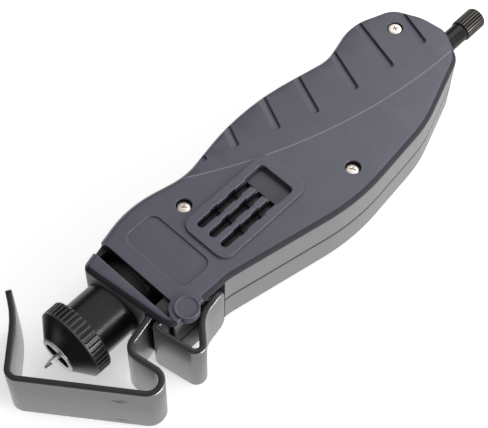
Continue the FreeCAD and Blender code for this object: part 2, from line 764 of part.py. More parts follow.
def cutting_blade():
    """Flat blade with a bevelled point, and wings that sit in the feed ring."""
    tip_x = guide_front_x - blade_projection
    half = blade_width / 2
    wing = blade_wing() - running_clearance
    wing_x = feed_ring_x + feed_ring_length * 0.3 + running_clearance
    wing_end_x = feed_ring_x + feed_ring_length
    tail_x = wing_end_x + blade_tail
    points = [(tip_x, -half * 0.15), (tip_x + blade_point, -half), (wing_x, -half), (wing_x, -wing),
              (wing_end_x, -wing), (wing_end_x, -half), (tail_x, -half), (tail_x, half), (wing_end_x, half),
              (wing_end_x, wing), (wing_x, wing), (wing_x, half), (tip_x + blade_point * 1.5, half)]
    outline = [V(x, turret_y + y, mid_z - blade_thickness / 2) for x, y in points]
    blade = Part.Face(Part.makePolygon(outline + outline[:1])).extrude(V(0, 0, blade_thickness))
    bevel = Part.Face(Part.makePolygon([
        V(tip_x - 1, turret_y - half - 1, mid_z + 0.08), V(tip_x - 1, turret_y - half - 1, mid_z + 2),
        V(tip_x + blade_point * 1.8, turret_y - half - 1, mid_z + 2),
        V(tip_x + blade_point * 1.3, turret_y - half - 1, mid_z + blade_thickness / 2),
        V(tip_x - 1, turret_y - half - 1, mid_z + 0.08)])).extrude(V(0, blade_width + 2, 0))
    return set_blade_angle(blade.cut(bevel))


def detent_ball():
    return Part.makeSphere(detent_ball_diameter / 2, V(detent_x(), detent_ball_y(), mid_z))


def detent_spring():
    start = detent_ball_y() + detent_ball_diameter / 2 + running_clearance
    place = V(detent_x(), start, mid_z)
    radius = detent_ball_diameter / 2 - running_clearance
    return coil(radius, detent_wire, detent_turns, detent_spring_length, place, V(0, 1, 0))


def rear_screw():
    """Knurled screw that closes the magazine, with the socket for the stalk."""
    head_x = rear_tip_x - rear_knurl_length
    radius = rear_knurl_diameter / 2
    chamfer = rear_knurl_depth * 2
    shank = rod_x(rear_screw_front_x, head_x, 0, mid_z, rear_screw_diameter / 2)
    head = turned_x([(head_x, 0), (head_x, radius - chamfer), (head_x + chamfer, radius),
                     (rear_tip_x - chamfer, radius), (rear_tip_x, radius - chamfer), (rear_tip_x, 0)], 0, mid_z)
    socket = rod_x(rear_screw_front_x - 1, rear_screw_front_x + stalk_pin_length + hand_clearance, 0, mid_z,
                   stalk_pin_diameter / 2 + running_clearance)
    wedge = Part.makePolygon([V(head_x - 1, y, mid_z + z) for y, z in
                              ((0, radius - rear_knurl_depth), (rear_knurl_depth, radius + chamfer),
                               (-rear_knurl_depth, radius + chamfer), (0, radius - rear_knurl_depth))])
    groove = Part.Face(wedge).extrude(V(rear_knurl_length + 2, 0, 0))
    knurls = []
    for i in range(rear_knurl_ribs):
        turned = groove.copy()
        turned.rotate(V(0, 0, mid_z), V(1, 0, 0), 360 * i / rear_knurl_ribs)
        knurls.append(turned)
    return shank.fuse(head).cut([socket] + knurls)


def rear_nut():
    nut = hex_prism(nut_x + running_clearance, nut_thickness - 2 * running_clearance, nut_width)
    return nut.cut(rod_x(nut_x - 1, nut_x + nut_thickness + 1, 0, mid_z, magazine_radius))


def screw_oring():
    """Soft ring that keeps the rear screw from working loose."""
    middle = oring_x + oring_wire / 2
    centre_radius = rear_screw_diameter / 2 + oring_wire / 2
    wire = oring_wire / 2 - running_clearance
    section = [(middle + wire * math.cos(a), centre_radius + wire * math.sin(a))
               for a in [math.radians(45 * i + 22.5) for i in range(8)]]
    return turned_x(section, 0, mid_z)


def blade_stalk():
    """Stalk that clips into the rear screw and carries the spare blade in its slit."""
    x1 = rear_screw_front_x - running_clearance
    rod = rod_x(stalk_front_x, x1, 0, mid_z, stalk_diameter / 2)
    pin = rod_x(x1, x1 + stalk_pin_length, 0, mid_z, stalk_pin_diameter / 2)
    half = blade_thickness / 2
    slit = box(stalk_front_x - 1, stalk_front_x + spare_blade_length + 1, -stalk_diameter, stalk_diameter,
               mid_z - half, mid_z + half)
    return rod.fuse(pin).cut(slit)


def spare_blade():
    half = blade_width / 2
    x0 = stalk_front_x
    x1 = stalk_front_x + spare_blade_length
    points = [(x0, -half * 0.2), (x0 + blade_point, -half), (x1, -half), (x1, half), (x0 + blade_point, half)]
    outline = [V(x, y, mid_z - blade_thickness / 2) for x, y in points]
    return Part.Face(Part.makePolygon(outline + outline[:1])).extrude(V(0, 0, blade_thickness))


def write_part(name, shape):
    solids = shape.Solids
    if len(solids) == 1:
        shape = solids[0]
    if not shape.isValid() or not solids:
        raise ValueError(name + " is not a valid solid")
    shape.exportStep("parts/" + name + ".step")
    print(name, len(solids), round(shape.Volume, 2))


def main():
    os.makedirs("parts", exist_ok=True)
    write_part("upper_shell", upper_shell())
    write_part("lower_shell", lower_shell())
    for name, (x, y) in zip(screw_names, screw_places):
        write_part(name, shell_screw(x, y))
    write_part("hook_lever", hook_lever())
    write_part("lever_pin", lever_pin())
    write_part("lever_washer_top", lever_washer(strip_high + running_clearance / 2))
    write_part("lever_washer_bottom", lever_washer(strip_low - lever_washer_thickness - running_clearance / 2))
    write_part("return_spring", return_spring())
    write_part("turret_sleeve", turret_sleeve())
    write_part("turret_washer", turret_washer())
    write_part("depth_knob", depth_knob())
    write_part("knob_washer", knob_washer())
    write_part("blade_guide", blade_guide())
    write_part("feed_ring", feed_ring())
    write_part("cutting_blade", cutting_blade())
    write_part("detent_ball", detent_ball())
    write_part("detent_spring", detent_spring())
    write_part("rear_screw", rear_screw())
    write_part("rear_nut", rear_nut())
    write_part("screw_oring", screw_oring())
    write_part("blade_stalk", blade_stalk())
    write_part("spare_blade", spare_blade())


main()
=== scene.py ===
"""Round cable stripper: looks built round the fixed CAD frame, laid out as an add-on."""

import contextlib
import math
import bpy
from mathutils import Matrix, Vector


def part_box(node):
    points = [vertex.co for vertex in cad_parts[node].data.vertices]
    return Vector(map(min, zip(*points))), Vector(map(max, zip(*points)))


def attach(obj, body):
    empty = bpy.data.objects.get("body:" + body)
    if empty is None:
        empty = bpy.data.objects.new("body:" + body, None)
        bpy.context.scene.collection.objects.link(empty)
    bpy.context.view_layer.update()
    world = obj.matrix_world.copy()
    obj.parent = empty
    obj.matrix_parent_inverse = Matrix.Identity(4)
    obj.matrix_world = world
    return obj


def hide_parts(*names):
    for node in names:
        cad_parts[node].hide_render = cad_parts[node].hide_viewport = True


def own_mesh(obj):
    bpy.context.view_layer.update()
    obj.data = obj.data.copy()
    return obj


bl_info = {
    "name": "Round Cable Stripper",
    "version": (1, 0, 0),
    "blender": (4, 5, 0),
    "location": "3D View > Sidebar > Stripper",
    "description": "Builds the looks of a round cable stripper on its CAD frame",
    "category": "Object",
}

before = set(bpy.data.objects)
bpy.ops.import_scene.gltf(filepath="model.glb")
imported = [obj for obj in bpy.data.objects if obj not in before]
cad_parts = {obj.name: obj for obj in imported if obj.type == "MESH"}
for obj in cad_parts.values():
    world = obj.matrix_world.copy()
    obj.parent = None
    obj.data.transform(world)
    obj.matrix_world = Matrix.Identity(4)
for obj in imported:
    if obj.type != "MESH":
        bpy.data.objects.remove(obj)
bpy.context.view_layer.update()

import bmesh
import bpy
from bpy.props import FloatProperty, FloatVectorProperty, IntProperty, PointerProperty
from mathutils import Matrix, Vector

MM = 0.001
WHITE = (1, 1, 1, 1)
SHELL_SCREWS = ("shell_screw_front", "shell_screw_middle", "shell_screw_rear")


def middle(node):
    """Centre of a CAD node's box."""
    low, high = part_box(node)
    return (low + high) / 2


def half_width(node):
    """Half the size of a CAD node's box along X."""
    low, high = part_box(node)
    return (high.x - low.x) / 2


# Lever's pivot at the height of the seam, and the distance from the seam to either face of the body
PIN = middle("lever_pin")
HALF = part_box("upper_shell")[0].z

# Distance within which vertices count as one: in any mesh, and where two sectors of a turned form meet
WELD = 1e-7
SECTOR_WELD = 0.002 * MM

# Edges sharper than this, in degrees, stay crisp on carved pieces
CARVED_ANGLE = 32

# Axes along which a distance is measured: in plan, and about an axis along X
PLAN = (1, 1, 0)
ROUND_X = (0, 1, 1)


def linear(hex_colour):
    """sRGB hex, such as 67676F, to the linear RGBA that Blender's sockets take."""
    channels = [int(hex_colour[i : i + 2], 16) / 255 for i in (0, 2, 4)]
    return tuple(c / 12.92 if c <= 0.04045 else ((c + 0.055) / 1.055) ** 2.4 for c in channels) + (1.0,)


def colour(name, hex_colour, description):
    return FloatVectorProperty(
        name=name, description=description, subtype="COLOR", size=4, min=0, max=1, default=linear(hex_colour)
    )


def size(name, millimetres, description):
    return FloatProperty(name=name, description=description, unit="LENGTH", min=0, default=millimetres * MM)


def amount(name, default, description, top=1.0):
    return FloatProperty(name=name, description=description, min=0, max=top, default=default)


class ShellSettings(bpy.types.PropertyGroup):
    face_colour: colour("Face", "4B4B59", "Moulded nylon of both shells")
    # painted shade: the round outer edge's dark colour stands in for the dim room it mirrors
    edge_colour: colour("Edge", "1C1D24", "Round edges, polished and darker than the face")
    # painted light: the side walls' lighter, greyer colour stands in for the low side light on them
    side_colour: colour("Side", "626464", "Side walls, coarser and greyer than the face")
    # painted highlight: the grip edge's pale colour is a painted sheen
    grip_colour: colour("Grip edge", "8A8B91", "Outer edge under the fingers, rubbed pale")
    # painted highlight along the ridge's crease
    crease_colour: colour("Crease", "8B8B93", "Thin line along the ridge, rubbed pale")
    seam_colour: colour("Seam", "050506", "Gap where the two shells meet")
    seam_width: size("Seam width", 0.9, "Width of the dark line where the two shells meet")
    # painted shade: how far the dark colour painted into corners spreads
    corner_reach: size("Corner reach", 1.6, "How far the dirt in a corner spreads")
    # painted highlight on the sharp moulded edges
    wear_colour: colour("Worn edge", "84848C", "Sharp edges, rubbed pale by use")
    # painted shade for the corners, the screw wells, the slots and the walls of the window
    grease_colour: colour("Grease", "0D0D0E", "Dirt in corners, and the greased walls of the window")
    grain_size: size("Grain", 0.35, "Size of the mould's spark-eroded grain")
    mottle_size: size("Mottle", 9.0, "Size of the faint cloudy flow marks")
    edge_softness: size("Edge softness", 0.3, "Radius by which sharp moulded edges catch the light")
    roughness: amount("Roughness", 0.42, "Roughness of the moulded face")


class LeverSettings(bpy.types.PropertyGroup):
    thickness: size("Thickness", 1.6, "Thickness of the spring steel strip")
    width: size("Width", 16.4, "Width of the strip, along Z")
    corner_radius: size("Corner radius", 1.8, "Rounding of the strip's four corners before bending")
    edge_rounding: size("Edge rounding", 0.36, "Rolled edge along both sides of the strip")
    face_colour: colour("Face", "7D7F7E", "Cold rolled face of the strip")
    edge_colour: colour("Sheared edge", "3A3B3C", "Sheared and darkened edge of the strip")
    # painted shade: the sheared edges are painted dark for the dim ceiling they mirror
    rim_colour: colour("Rolled edge", "8C8D8C", "Bright rounding between a face and its sheared edge")
    # painted highlight on the rolled edges
    scratch_colour: colour("Scratch", "2E2F2E", "Rub marks left by cables in the hook")


class TurretSettings(bpy.types.PropertyGroup):
    sleeve_colour: colour("Sleeve", "1D1E21", "Black turned sleeve")
    # painted shade: the sleeve's collar and bore, inside the body, are painted near black
    collar_colour: colour("Collar", "080808", "Greased collar and bore of the sleeve")
    knob_colour: colour("Knob", "161616", "Black moulded knob")
    # painted highlight on the knob's ribs
    rib_colour: colour("Rib", "464646", "Ribs between the flutes, worn grey")
    guide_colour: colour("Guide", "B4B4B2", "Turned aluminium nose disc")
    recess_length: size("Recess length", 7.6, "Length of the black recess in the nose disc")
    recess_width: size("Recess width", 4.0, "Width of the black recess in the nose disc")
    recess_depth: size("Recess depth", 0.75, "Depth of the black recess in the nose disc")
    blade_colour: colour("Blade", "DEDEDC", "Ground tool steel")
    knob_diameter: size("Knob diameter", 18.8, "Diameter of the knob's fluted rim")
    flutes: IntProperty(name="Flutes", description="Flutes round the knob", min=6, max=90, default=42)
    flute_depth: size("Flute depth", 0.5, "Depth of each flute")
    flute_width: size("Flute width", 0.9, "Width of each flute")
    flute_land: size("Flute land", 0.5, "Plain band between the flutes' round ends and the cone")


class FastenerSettings(bpy.types.PropertyGroup):
    screw_colour: colour("Screw", "F2E8E0", "Nickel plated shell screw")
    rod_colour: colour("End screw", "2F2E2D", "Black oxide on the end screw")
    # painted highlight on the knurls' ridge tops
    knurl_colour: colour("Knurl", "66635F", "Steel worn bright on the knurls")
    brass_colour: colour("Brass", "B79A5B", "Brass nut and feed ring")
    rubber_colour: colour("Rubber", "141414", "Soft ring")
    head_diameter: size("Head diameter", 3.5, "Diameter of the shell screws' heads")
    cross_length: size("Cross length", 1.7, "Length of the recess in the shell screws' heads")
    knurls: IntProperty(name="Knurls", description="Knurls round the end screw", min=6, max=60, default=24)
    knurl_depth: size("Knurl depth", 0.3, "Depth of each knurl groove")
    knurl_width: size("Knurl width", 0.52, "Width of each knurl groove at the surface")


class SpringSettings(bpy.types.PropertyGroup):
    wire: size("Wire", 0.6, "Wire of the lever's return spring")
    turns: amount("Turns", 5.0, "Turns of the return spring", 20)
    detent_wire: size("Detent wire", 0.4, "Wire of the detent spring")
    detent_turns: amount("Detent turns", 4.0, "Turns of the detent spring", 20)
    steel_colour: colour("Spring steel", "8F8F8C", "Drawn wire of both springs")


class StageSettings(bpy.types.PropertyGroup):
    lens: amount("Lens", 103.28, "Camera lens in millimetres, on a 36 mm sensor", 500)
    side_power: amount("Side light", 9.0, "Power of the low light on the lever side, in watts", 100)
    strip_power: amount("Strip light", 2.2, "Power of the narrow light that draws the streaks, in watts", 100)
    top_power: amount("Top light", 1.7, "Power of the large top light, in watts", 100)
    sky: amount("Sky", 0.38, "Strength of the room's even light", 10)


class Wire:
    """One output of a node. Arithmetic adds Math nodes, and [name] gives another output of the node."""

    def __init__(self, node, output=0):
        self.node = node
        self.output = output
        self.tree = node.id_data

    def __getitem__(self, output):
        return Wire(self.node, output)

    def __abs__(self):
        return maths("ABSOLUTE", self)

    def __add__(self, other):
        return maths("ADD", self, other)

    def __sub__(self, other):
        return maths("SUBTRACT", self, other)

    def __rsub__(self, other):
        return maths("SUBTRACT", other, self)

    def __mul__(self, other):
        return maths("MULTIPLY", self, other)

    def __truediv__(self, other):
        return maths("DIVIDE", self, other)

    def remap(self, low, high, start=0.0, end=1.0):
        """Start up to low, end from high on, and evenly changing in between."""
        return add(self.tree, "ShaderNodeMapRange", i0=self, i1=low, i2=high, i3=start, i4=end)

    def apart(self):
        return add(self.tree, "ShaderNodeSeparateXYZ", Vector=self)

    def noise(self, scale, detail, **more):
        return add(self.tree, "ShaderNodeTexNoise", Vector=self, Scale=scale, Detail=detail, **more)

    def bump(self, strength, distance, **more):
        return add(self.tree, "ShaderNodeBump", Height=self, Strength=strength, Distance=distance, **more)

    def ramp(self, *stops):
        """Colour ramp from (position, colour or grey) stops."""
        result = add(self.tree, "ShaderNodeValToRGB", Fac=self)
        elements = result.node.color_ramp.elements
        while len(elements) < len(stops):
            elements.new(0.5)
        for element, (position, value) in zip(elements, stops):
            element.position = position
            element.color = value if isinstance(value, (list, tuple)) else shade(value)
        return result


def add(tree, kind, settings=None, **links):
    """Adds one node with its properties, and its inputs as values or wires, and returns its first output."""
    node = tree.nodes.new(kind)
    for key, value in (settings or {}).items():
        setattr(node, key, value)
    for key, value in links.items():
        socket = find_input(node, key)
        if isinstance(value, Wire):
            tree.links.new(value.node.outputs[value.output], socket)
        else:
            socket.default_value = value
    return Wire(node)


def find_input(node, key):
    """An input by its name with underscores for spaces, or by i and its number, such as i1."""
    if key[0] == "i" and key[1:].isdigit():
        return node.inputs[int(key[1:])]
    return next(s for s in node.inputs if s.name.replace(" ", "_").lower() == key.lower() and s.enabled)


def tree_of(values):
    """The tree of the first wire among the values."""
    return next(value.tree for value in values if isinstance(value, Wire))


def maths(operation, *values, kind="ShaderNodeMath"):
    inputs = {"i" + str(i): value for i, value in enumerate(values)}
    return add(tree_of(values), kind, {"operation": operation}, **inputs)


def vector(operation, *values):
    return maths(operation, *values, kind="ShaderNodeVectorMath")


def mix(factor, start, end, blend="MIX"):
    """Colour between start and end."""
    settings = {"data_type": "RGBA", "blend_type": blend}
    return add(tree_of((factor, start, end)), "ShaderNodeMix", settings, i0=factor, i6=start, i7=end)[2]


def new_material(name):
    material = bpy.data.materials.new(name)
    material.use_nodes = True
    material.node_tree.nodes.clear()
    return material, material.node_tree


def finish(base, rough, **extra):
    """Surface shader and output of a material."""
    surface = add(base.tree, "ShaderNodeBsdfPrincipled", Base_Color=base, Roughness=rough, **extra)
    add(base.tree, "ShaderNodeOutputMaterial", Surface=surface)


def shade(value):
    return (value, value, value, 1)


def tone(base, factor):
    return [min(c * factor, 1) for c in base[:3]] + [1]


def dress(names, material):
    """Gives CAD nodes their material."""
    for name in names:
        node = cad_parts[name]
        node.data.materials.clear()
        node.data.materials.append(material)


def new_object(name, mesh, material, body, replaces):
    """Puts a finished mesh in the scene and ties it to its CAD body."""
    piece = bpy.data.objects.new(name, mesh)
    bpy.context.scene.collection.objects.link(piece)
    mesh.name = name
    mesh.materials.clear()
    mesh.materials.append(material)
    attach(piece, body)
    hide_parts(*replaces)
    return piece


@contextlib.contextmanager
def edited(mesh):
    """The mesh opened for editing, and written back at the end."""
    bm = bmesh.new()
    bm.from_mesh(mesh)
    yield bm
    bm.to_mesh(mesh)
    bm.free()


def closed_mesh(bm):
    """The finished form as a mesh, with its faces turned outwards."""
    bmesh.ops.recalc_face_normals(bm, faces=bm.faces)
    return plain_mesh(bm)


def plain_mesh(bm):
    mesh = bpy.data.meshes.new("form")
    bm.to_mesh(mesh)
    bm.free()
    return mesh


def smooth(mesh, degrees):
    """Smooth shading that stays crisp at edges sharper than the angle."""
    with edited(mesh) as bm:
        for edge in bm.edges:
            edge.smooth = len(edge.link_faces) == 2 and edge.calc_face_angle(0) < math.radians(degrees)
        for face in bm.faces:
            face.smooth = True


def merged_copy(node):
    """A copy of a CAD node's mesh with its loose triangles joined."""
    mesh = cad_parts[node].data.copy()
    with edited(mesh) as bm:
        bmesh.ops.remove_doubles(bm, verts=bm.verts, dist=WELD)
    return mesh


def skin(bm, rings):
    """Faces between each ring of vertices and the next."""
    for a, b in zip(rings, rings[1:]):
        for j in range(len(a)):
            k = (j + 1) % len(a)
            bm.faces.new((a[j], a[k], b[k], b[j]))


def lathe(profile, centre, segments=128):
    """Turned form about an axis along X through centre, from closed (x, radius) points."""
    bm = bmesh.new()
    rings = []
    for i in range(segments):
        angle = math.tau * i / segments
        c, s = math.cos(angle), math.sin(angle)
        rings.append([bm.verts.new((x, centre.y + r * c, centre.z + r * s)) for x, r in profile])
    skin(bm, rings + rings[:1])
    bmesh.ops.remove_doubles(bm, verts=bm.verts, dist=WELD)
    return closed_mesh(bm)


def rounded_profile(points, radius, steps=4):
    """Closed (x, r) profile with each corner rounded, never by more than a third of its shorter side."""
    result = []
    count = len(points)
    for i, point in enumerate(points):
        p = Vector(point)
        before, after = Vector(points[i - 1]) - p, Vector(points[(i + 1) % count]) - p
        reach = min(radius, before.length / 3, after.length / 3)
        a, b = p + before.normalized() * reach, p + after.normalized() * reach
        for k in range(steps + 1):
            t = k / steps
            result.append(tuple(a * (1 - t) ** 2 + p * 2 * t * (1 - t) + b * t ** 2))
    return result


# Roughness of the painted shade in corners and on the sleeve inside the body, and of the dark round edges and
# the seam
DULL = 0.85

# Radius within which a face belongs to a shell screw's well
WELL_RADIUS = 2.04 * MM

# Three points of the ridge's circle in plan, in metres, the same as in the part's source
RIDGE = ((-0.026, 0.0172), (0.0048, 0.0021), (0.0575, -0.0062))

# Extent in X and in Y of the panel's three slots, in millimetres
SLOTS = ((-32.7, -4.0), (-8.0, 6.4))

# Window across the nose: front and rear walls in X, its deep end and its valley's end in Y, in millimetres
WINDOW = (-51.6, -48.2, -3.9, -8.6)


def moulded_nylon():
    """Glass-filled nylon from a spark-eroded mould."""
    s = bpy.context.scene.stripper_shell
    # blue-grey and faintly cloudy, with a fine satin grain that breaks up the shine
    material, tree = new_material("glass_filled_nylon")
    place = add(tree, "ShaderNodeTexCoord")
    spot, facing = place["Object"], place["Normal"].apart()
    cloud = spot.noise(1 / s.mottle_size, 3.0, Roughness=0.55)
    speck = spot.noise(1 / (s.grain_size * 2.2), 2.0)
    tint = cloud.ramp((0.35, tone(s.face_colour, 0.93)), (0.65, tone(s.face_colour, 1.07)))
    fleck = speck.ramp((0.3, 0.9), (0.7, 1.06))
    face = mix(1.0, tint, fleck, "MULTIPLY")
    # the side walls are painted lighter and greyer than the face, as the low side light shows them
    level, lean = abs(spot.apart()["Z"] - PIN.z), abs(facing["Z"])
    upright = lean.ramp((0.12, 1), (0.3, 0))
    outside = level.remap(HALF - 1.6 * MM, HALF - 1.1 * MM, 1.0, 0.0)
    base = mix(upright * outside, face, mix(1.0, fleck, s.side_colour, "MULTIPLY"))
    # the round outer edge is painted darker than the flat face on the lever side, as painted shade for the
    # dim room it mirrors, and painted pale under the fingers, as a painted sheen
    band = lean.ramp((0.1, 0), (0.3, 1), (0.88, 1), (0.95, 0))
    fingers = facing["Y"].remap(0.3, 0.5)
    away, radius = ridge_distance(spot)
    lever_side = away.remap(radius - 0.3 * MM, radius)
    where = maths("MAXIMUM", lever_side, fingers)
    base = mix(band * where, base, mix(fingers, s.edge_colour, s.grip_colour))
    # a painted highlight runs along the crease of the ridge, and the seam between the shells stays dark
    base = mix(ridge_mask(spot, level), base, s.crease_colour)
    seam = level.remap(s.seam_width * 0.4, s.seam_width * 0.55, 1.0, 0.0)
    base = mix(seam, base, s.seam_colour)
    # sharp edges get a painted highlight
    base = mix(worn_mask(tree, s.edge_softness), base, s.wear_colour)
    # painted shade darkens the corners, the screw wells, the slots and the window
    settings = {"samples": 8, "only_local": True}
    open_sky = add(tree, "ShaderNodeAmbientOcclusion", settings, Distance=s.corner_reach)["AO"]
    corner = open_sky.ramp((0.42, 0.9), (0.74, 0))
    base = mix(corner, base, s.grease_colour)
    shadows = maths("MAXIMUM", window_mask(spot, level), well_mask(spot, level))
    base = mix(maths("MAXIMUM", shadows, slot_mask(spot, level)), base, s.grease_colour)
    soft = add(tree, "ShaderNodeBevel", {"samples": 6}, Radius=s.edge_softness)
    bump = spot.noise(1 / s.grain_size, 2.0, Roughness=0.6).bump(0.2, 0.06 * MM, Normal=soft)
    rough = speck.ramp((0.3, s.roughness - 0.06), (0.7, s.roughness + 0.07))
    dull = maths("MAXIMUM", maths("MAXIMUM", band, seam), corner)
    finish(base, mix(dull, rough, shade(DULL)), Normal=bump, IOR=1.53)
    return material


def sunk(level, depth, most):
    """Most from that depth below either face, nought at the face."""
    return level.remap(HALF - depth * MM, HALF - 0.2 * MM, most, 0.0)


def distance(spot, centre, across):
    """Distance from centre, measured along the axes that are 1 in across."""
    flat = vector("MULTIPLY", vector("SUBTRACT", spot, centre), across)
    return vector("LENGTH", flat)["Value"]


def well_mask(spot, level):
    """Nearly one on the walls of the shell screws' wells, nought elsewhere."""
    nearest = 1.0
    for node in SHELL_SCREWS:
        nearest = maths("MINIMUM", distance(spot, middle(node), PLAN), nearest)
    return nearest.remap(WELL_RADIUS, WELL_RADIUS + 0.06 * MM, 1.0, 0.0) * sunk(level, 0.9, 0.9)


def slot_mask(spot, level):
    """Nearly one deep in the panel's three slots, nought elsewhere."""
    parts = spot.apart()
    mask = sunk(level, 1.4, 0.88) * maths("GREATER_THAN", parts["Z"], PIN.z)
    for axis, (first, last) in zip("XY", SLOTS):
        aside = abs(parts[axis] - (first + last) / 2 * MM)
        reach = (last - first) / 2
        mask = mask * aside.remap(reach * MM, (reach + 0.1) * MM, 1.0, 0.0)
    return mask


def window_mask(spot, level):
    """One on the walls of the window across the nose, less on the valley at its end, nought elsewhere."""
    parts = spot.apart()
    front, rear, deep_end, shallow_end = (value * MM for value in WINDOW)
    half = (rear - front) / 2 + 0.03 * MM
    across = abs(parts["X"] - (front + rear) / 2).remap(half, half + 0.05 * MM, 1.0, 0.0)
    along = parts["Y"].remap(shallow_end, deep_end + 0.8 * MM, 0.9, 1.0)
    begun = parts["Y"].remap(shallow_end - 0.1 * MM, shallow_end)
    return across * sunk(level, 0.7, 1.0) * (along * begun)


def ridge_mask(spot, level):
    """Less than one on a thin line along the ridge of the flat faces, nought elsewhere."""
    away, radius = ridge_distance(spot)
    line = abs(away - radius).remap(0.04 * MM, 0.22 * MM, 0.75, 0.0)
    return line * abs(level - HALF).remap(0.1 * MM, 0.2 * MM, 1.0, 0.0)


def ridge_distance(spot):
    """Distance in plan from the centre of the ridge's circle, and the circle's radius."""
    (ax, ay), (bx, by), (cx, cy) = RIDGE
    d = 2 * (ax * (by - cy) + bx * (cy - ay) + cx * (ay - by))
    a, b, c = ax * ax + ay * ay, bx * bx + by * by, cx * cx + cy * cy
    x = (a * (by - cy) + b * (cy - ay) + c * (ay - by)) / d
    y = (a * (cx - bx) + b * (ax - cx) + c * (bx - ax)) / d
    return distance(spot, (x, y, 0), PLAN), math.hypot(ax - x, ay - y)


# Long rub marks on the strip: run from the hook's tip and height at each end, then half width, in millimetres
SCRATCHES = (
    (44.2, 4.3, 49.2, 3.5, 0.34),
    (45.6, 3.4, 49.0, 3.8, 0.24),
    (44.0, -5.9, 49.4, -6.4, 0.30),
    (26.0, -1.5, 31.0, -2.1, 0.08),
    (54.0, 5.6, 59.5, 4.6, 0.22),
    (55.0, 4.4, 60.0, 5.4, 0.16),
    (56.5, 2.4, 60.5, 3.4, 0.20),
    (57.0, 0.2, 61.0, 1.0, 0.14),
    (12.5, -2.0, 18.0, -2.6, 0.08),
    (46.0, 5.0, 49.5, 4.4, 0.18),
)


def strip_steel():
    """Cold rolled spring steel, sheared to width."""
    s = bpy.context.scene.stripper_lever
    # satin grey faces with fine rolling lines, sheared edges painted dark as shade for the dim ceiling they
    # mirror, rolled edges with a painted highlight, and a few long rub marks
    material, tree = new_material("cold_rolled_spring_steel")
    spot = add(tree, "ShaderNodeTexCoord")["Object"]
    lean = abs(add(tree, "ShaderNodeNewGeometry")["Normal"].apart()["Z"])
    run = add(tree, "ShaderNodeAttribute", {"attribute_name": "run"})["Fac"]
    height = spot.apart()["Z"]
    # rolling lines about 0.4 mm apart, drawn coarser than they are so that they show
    grid = add(tree, "ShaderNodeCombineXYZ", X=run * 45.0, Y=height * 2400.0)
    lines = grid.noise(1.0, 3.0)
    cloud = spot.noise(110.0, 2.0)
    base = lines.ramp((0.3, tone(s.face_colour, 0.93)), (0.7, tone(s.face_colour, 1.0)))
    base = mix(1.0, base, cloud.ramp((0.35, 0.94), (0.65, 1.03)), "MULTIPLY")
    marks = 0.0
    for scratch in SCRATCHES:
        marks = maths("MAXIMUM", scratch_mask(run, height - PIN.z, scratch), marks)
    base = mix(marks, base, s.scratch_colour)
    # the rolled edges get a painted highlight, and the sheared edges painted shade
    base = mix(lean.ramp((0.1, 0), (0.3, 1)), base, s.rim_colour)
    base = mix(lean.ramp((0.72, 0), (0.9, 1)), base, s.edge_colour)
    rough = cloud.ramp((0.3, 0.3), (0.7, 0.37))
    finish(base, rough, Normal=lines.bump(0.1, 0.02 * MM), Metallic=0.92)
    return material


def scratch_mask(run, level, scratch):
    """One on a thin line that tapers towards both ends."""
    r0, z0, r1, z1, width = (value * MM for value in scratch)
    share = run.remap(r0, r1)
    taper = share * (1.0 - share) * 4.0
    away = abs(level - run.remap(r0, r1, z0, z1))
    mask = (taper - away / width) * 2.0
    mask.node.use_clamp = True
    return mask


def rim_mask(spot, centre, inner, outer):
    """Nought to one between two radii about an axis along X."""
    return distance(spot, centre, ROUND_X).remap(inner, outer)


def worn_mask(tree, radius):
    """More than nought on sharp edges, by how far a bevel of that radius turns the normal."""
    wide = add(tree, "ShaderNodeBevel", {"samples": 6}, Radius=radius)
    turned = vector("DOT_PRODUCT", wide, add(tree, "ShaderNodeNewGeometry")["Normal"])
    return turned["Value"].remap(0.96, 0.8, 0.0, 0.8)


def black_plastic(name, base, roughness, grain, hidden=None, ribs=None):
    """Black plastic, with painted shade inside the body and a painted highlight on the knob's ribs where
    those colours are given.
    """
    # semi matt, with faint flow marks
    material, tree = new_material(name)
    spot = add(tree, "ShaderNodeTexCoord")["Object"]
    fine = spot.noise(1 / grain, 2.0)
    toned = spot.noise(210.0, 3.0).ramp((0.35, tone(base, 0.8)), (0.65, tone(base, 1.2)))
    rough = fine.ramp((0.3, roughness - 0.03), (0.7, roughness + 0.04))
    if hidden is not None:
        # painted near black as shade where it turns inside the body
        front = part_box("upper_shell")[0].x
        inside = spot.apart()["X"].remap(front, front + MM)
        toned = mix(inside, toned, hidden)
        rough = mix(inside, rough, shade(DULL))
    if ribs is not None:
        # the knob's ribs are painted grey as a highlight, and its flutes stay black
        rim = bpy.context.scene.stripper_turret.knob_diameter / 2
        toned = mix(rim_mask(spot, turret_axis(), rim - 0.25 * MM, rim - 0.05 * MM), toned, ribs)
    soft = add(tree, "ShaderNodeBevel", {"samples": 4}, Radius=0.1 * MM)
    finish(toned, rough, Normal=fine.bump(0.04, 0.03 * MM, Normal=soft), IOR=1.48)
    return material


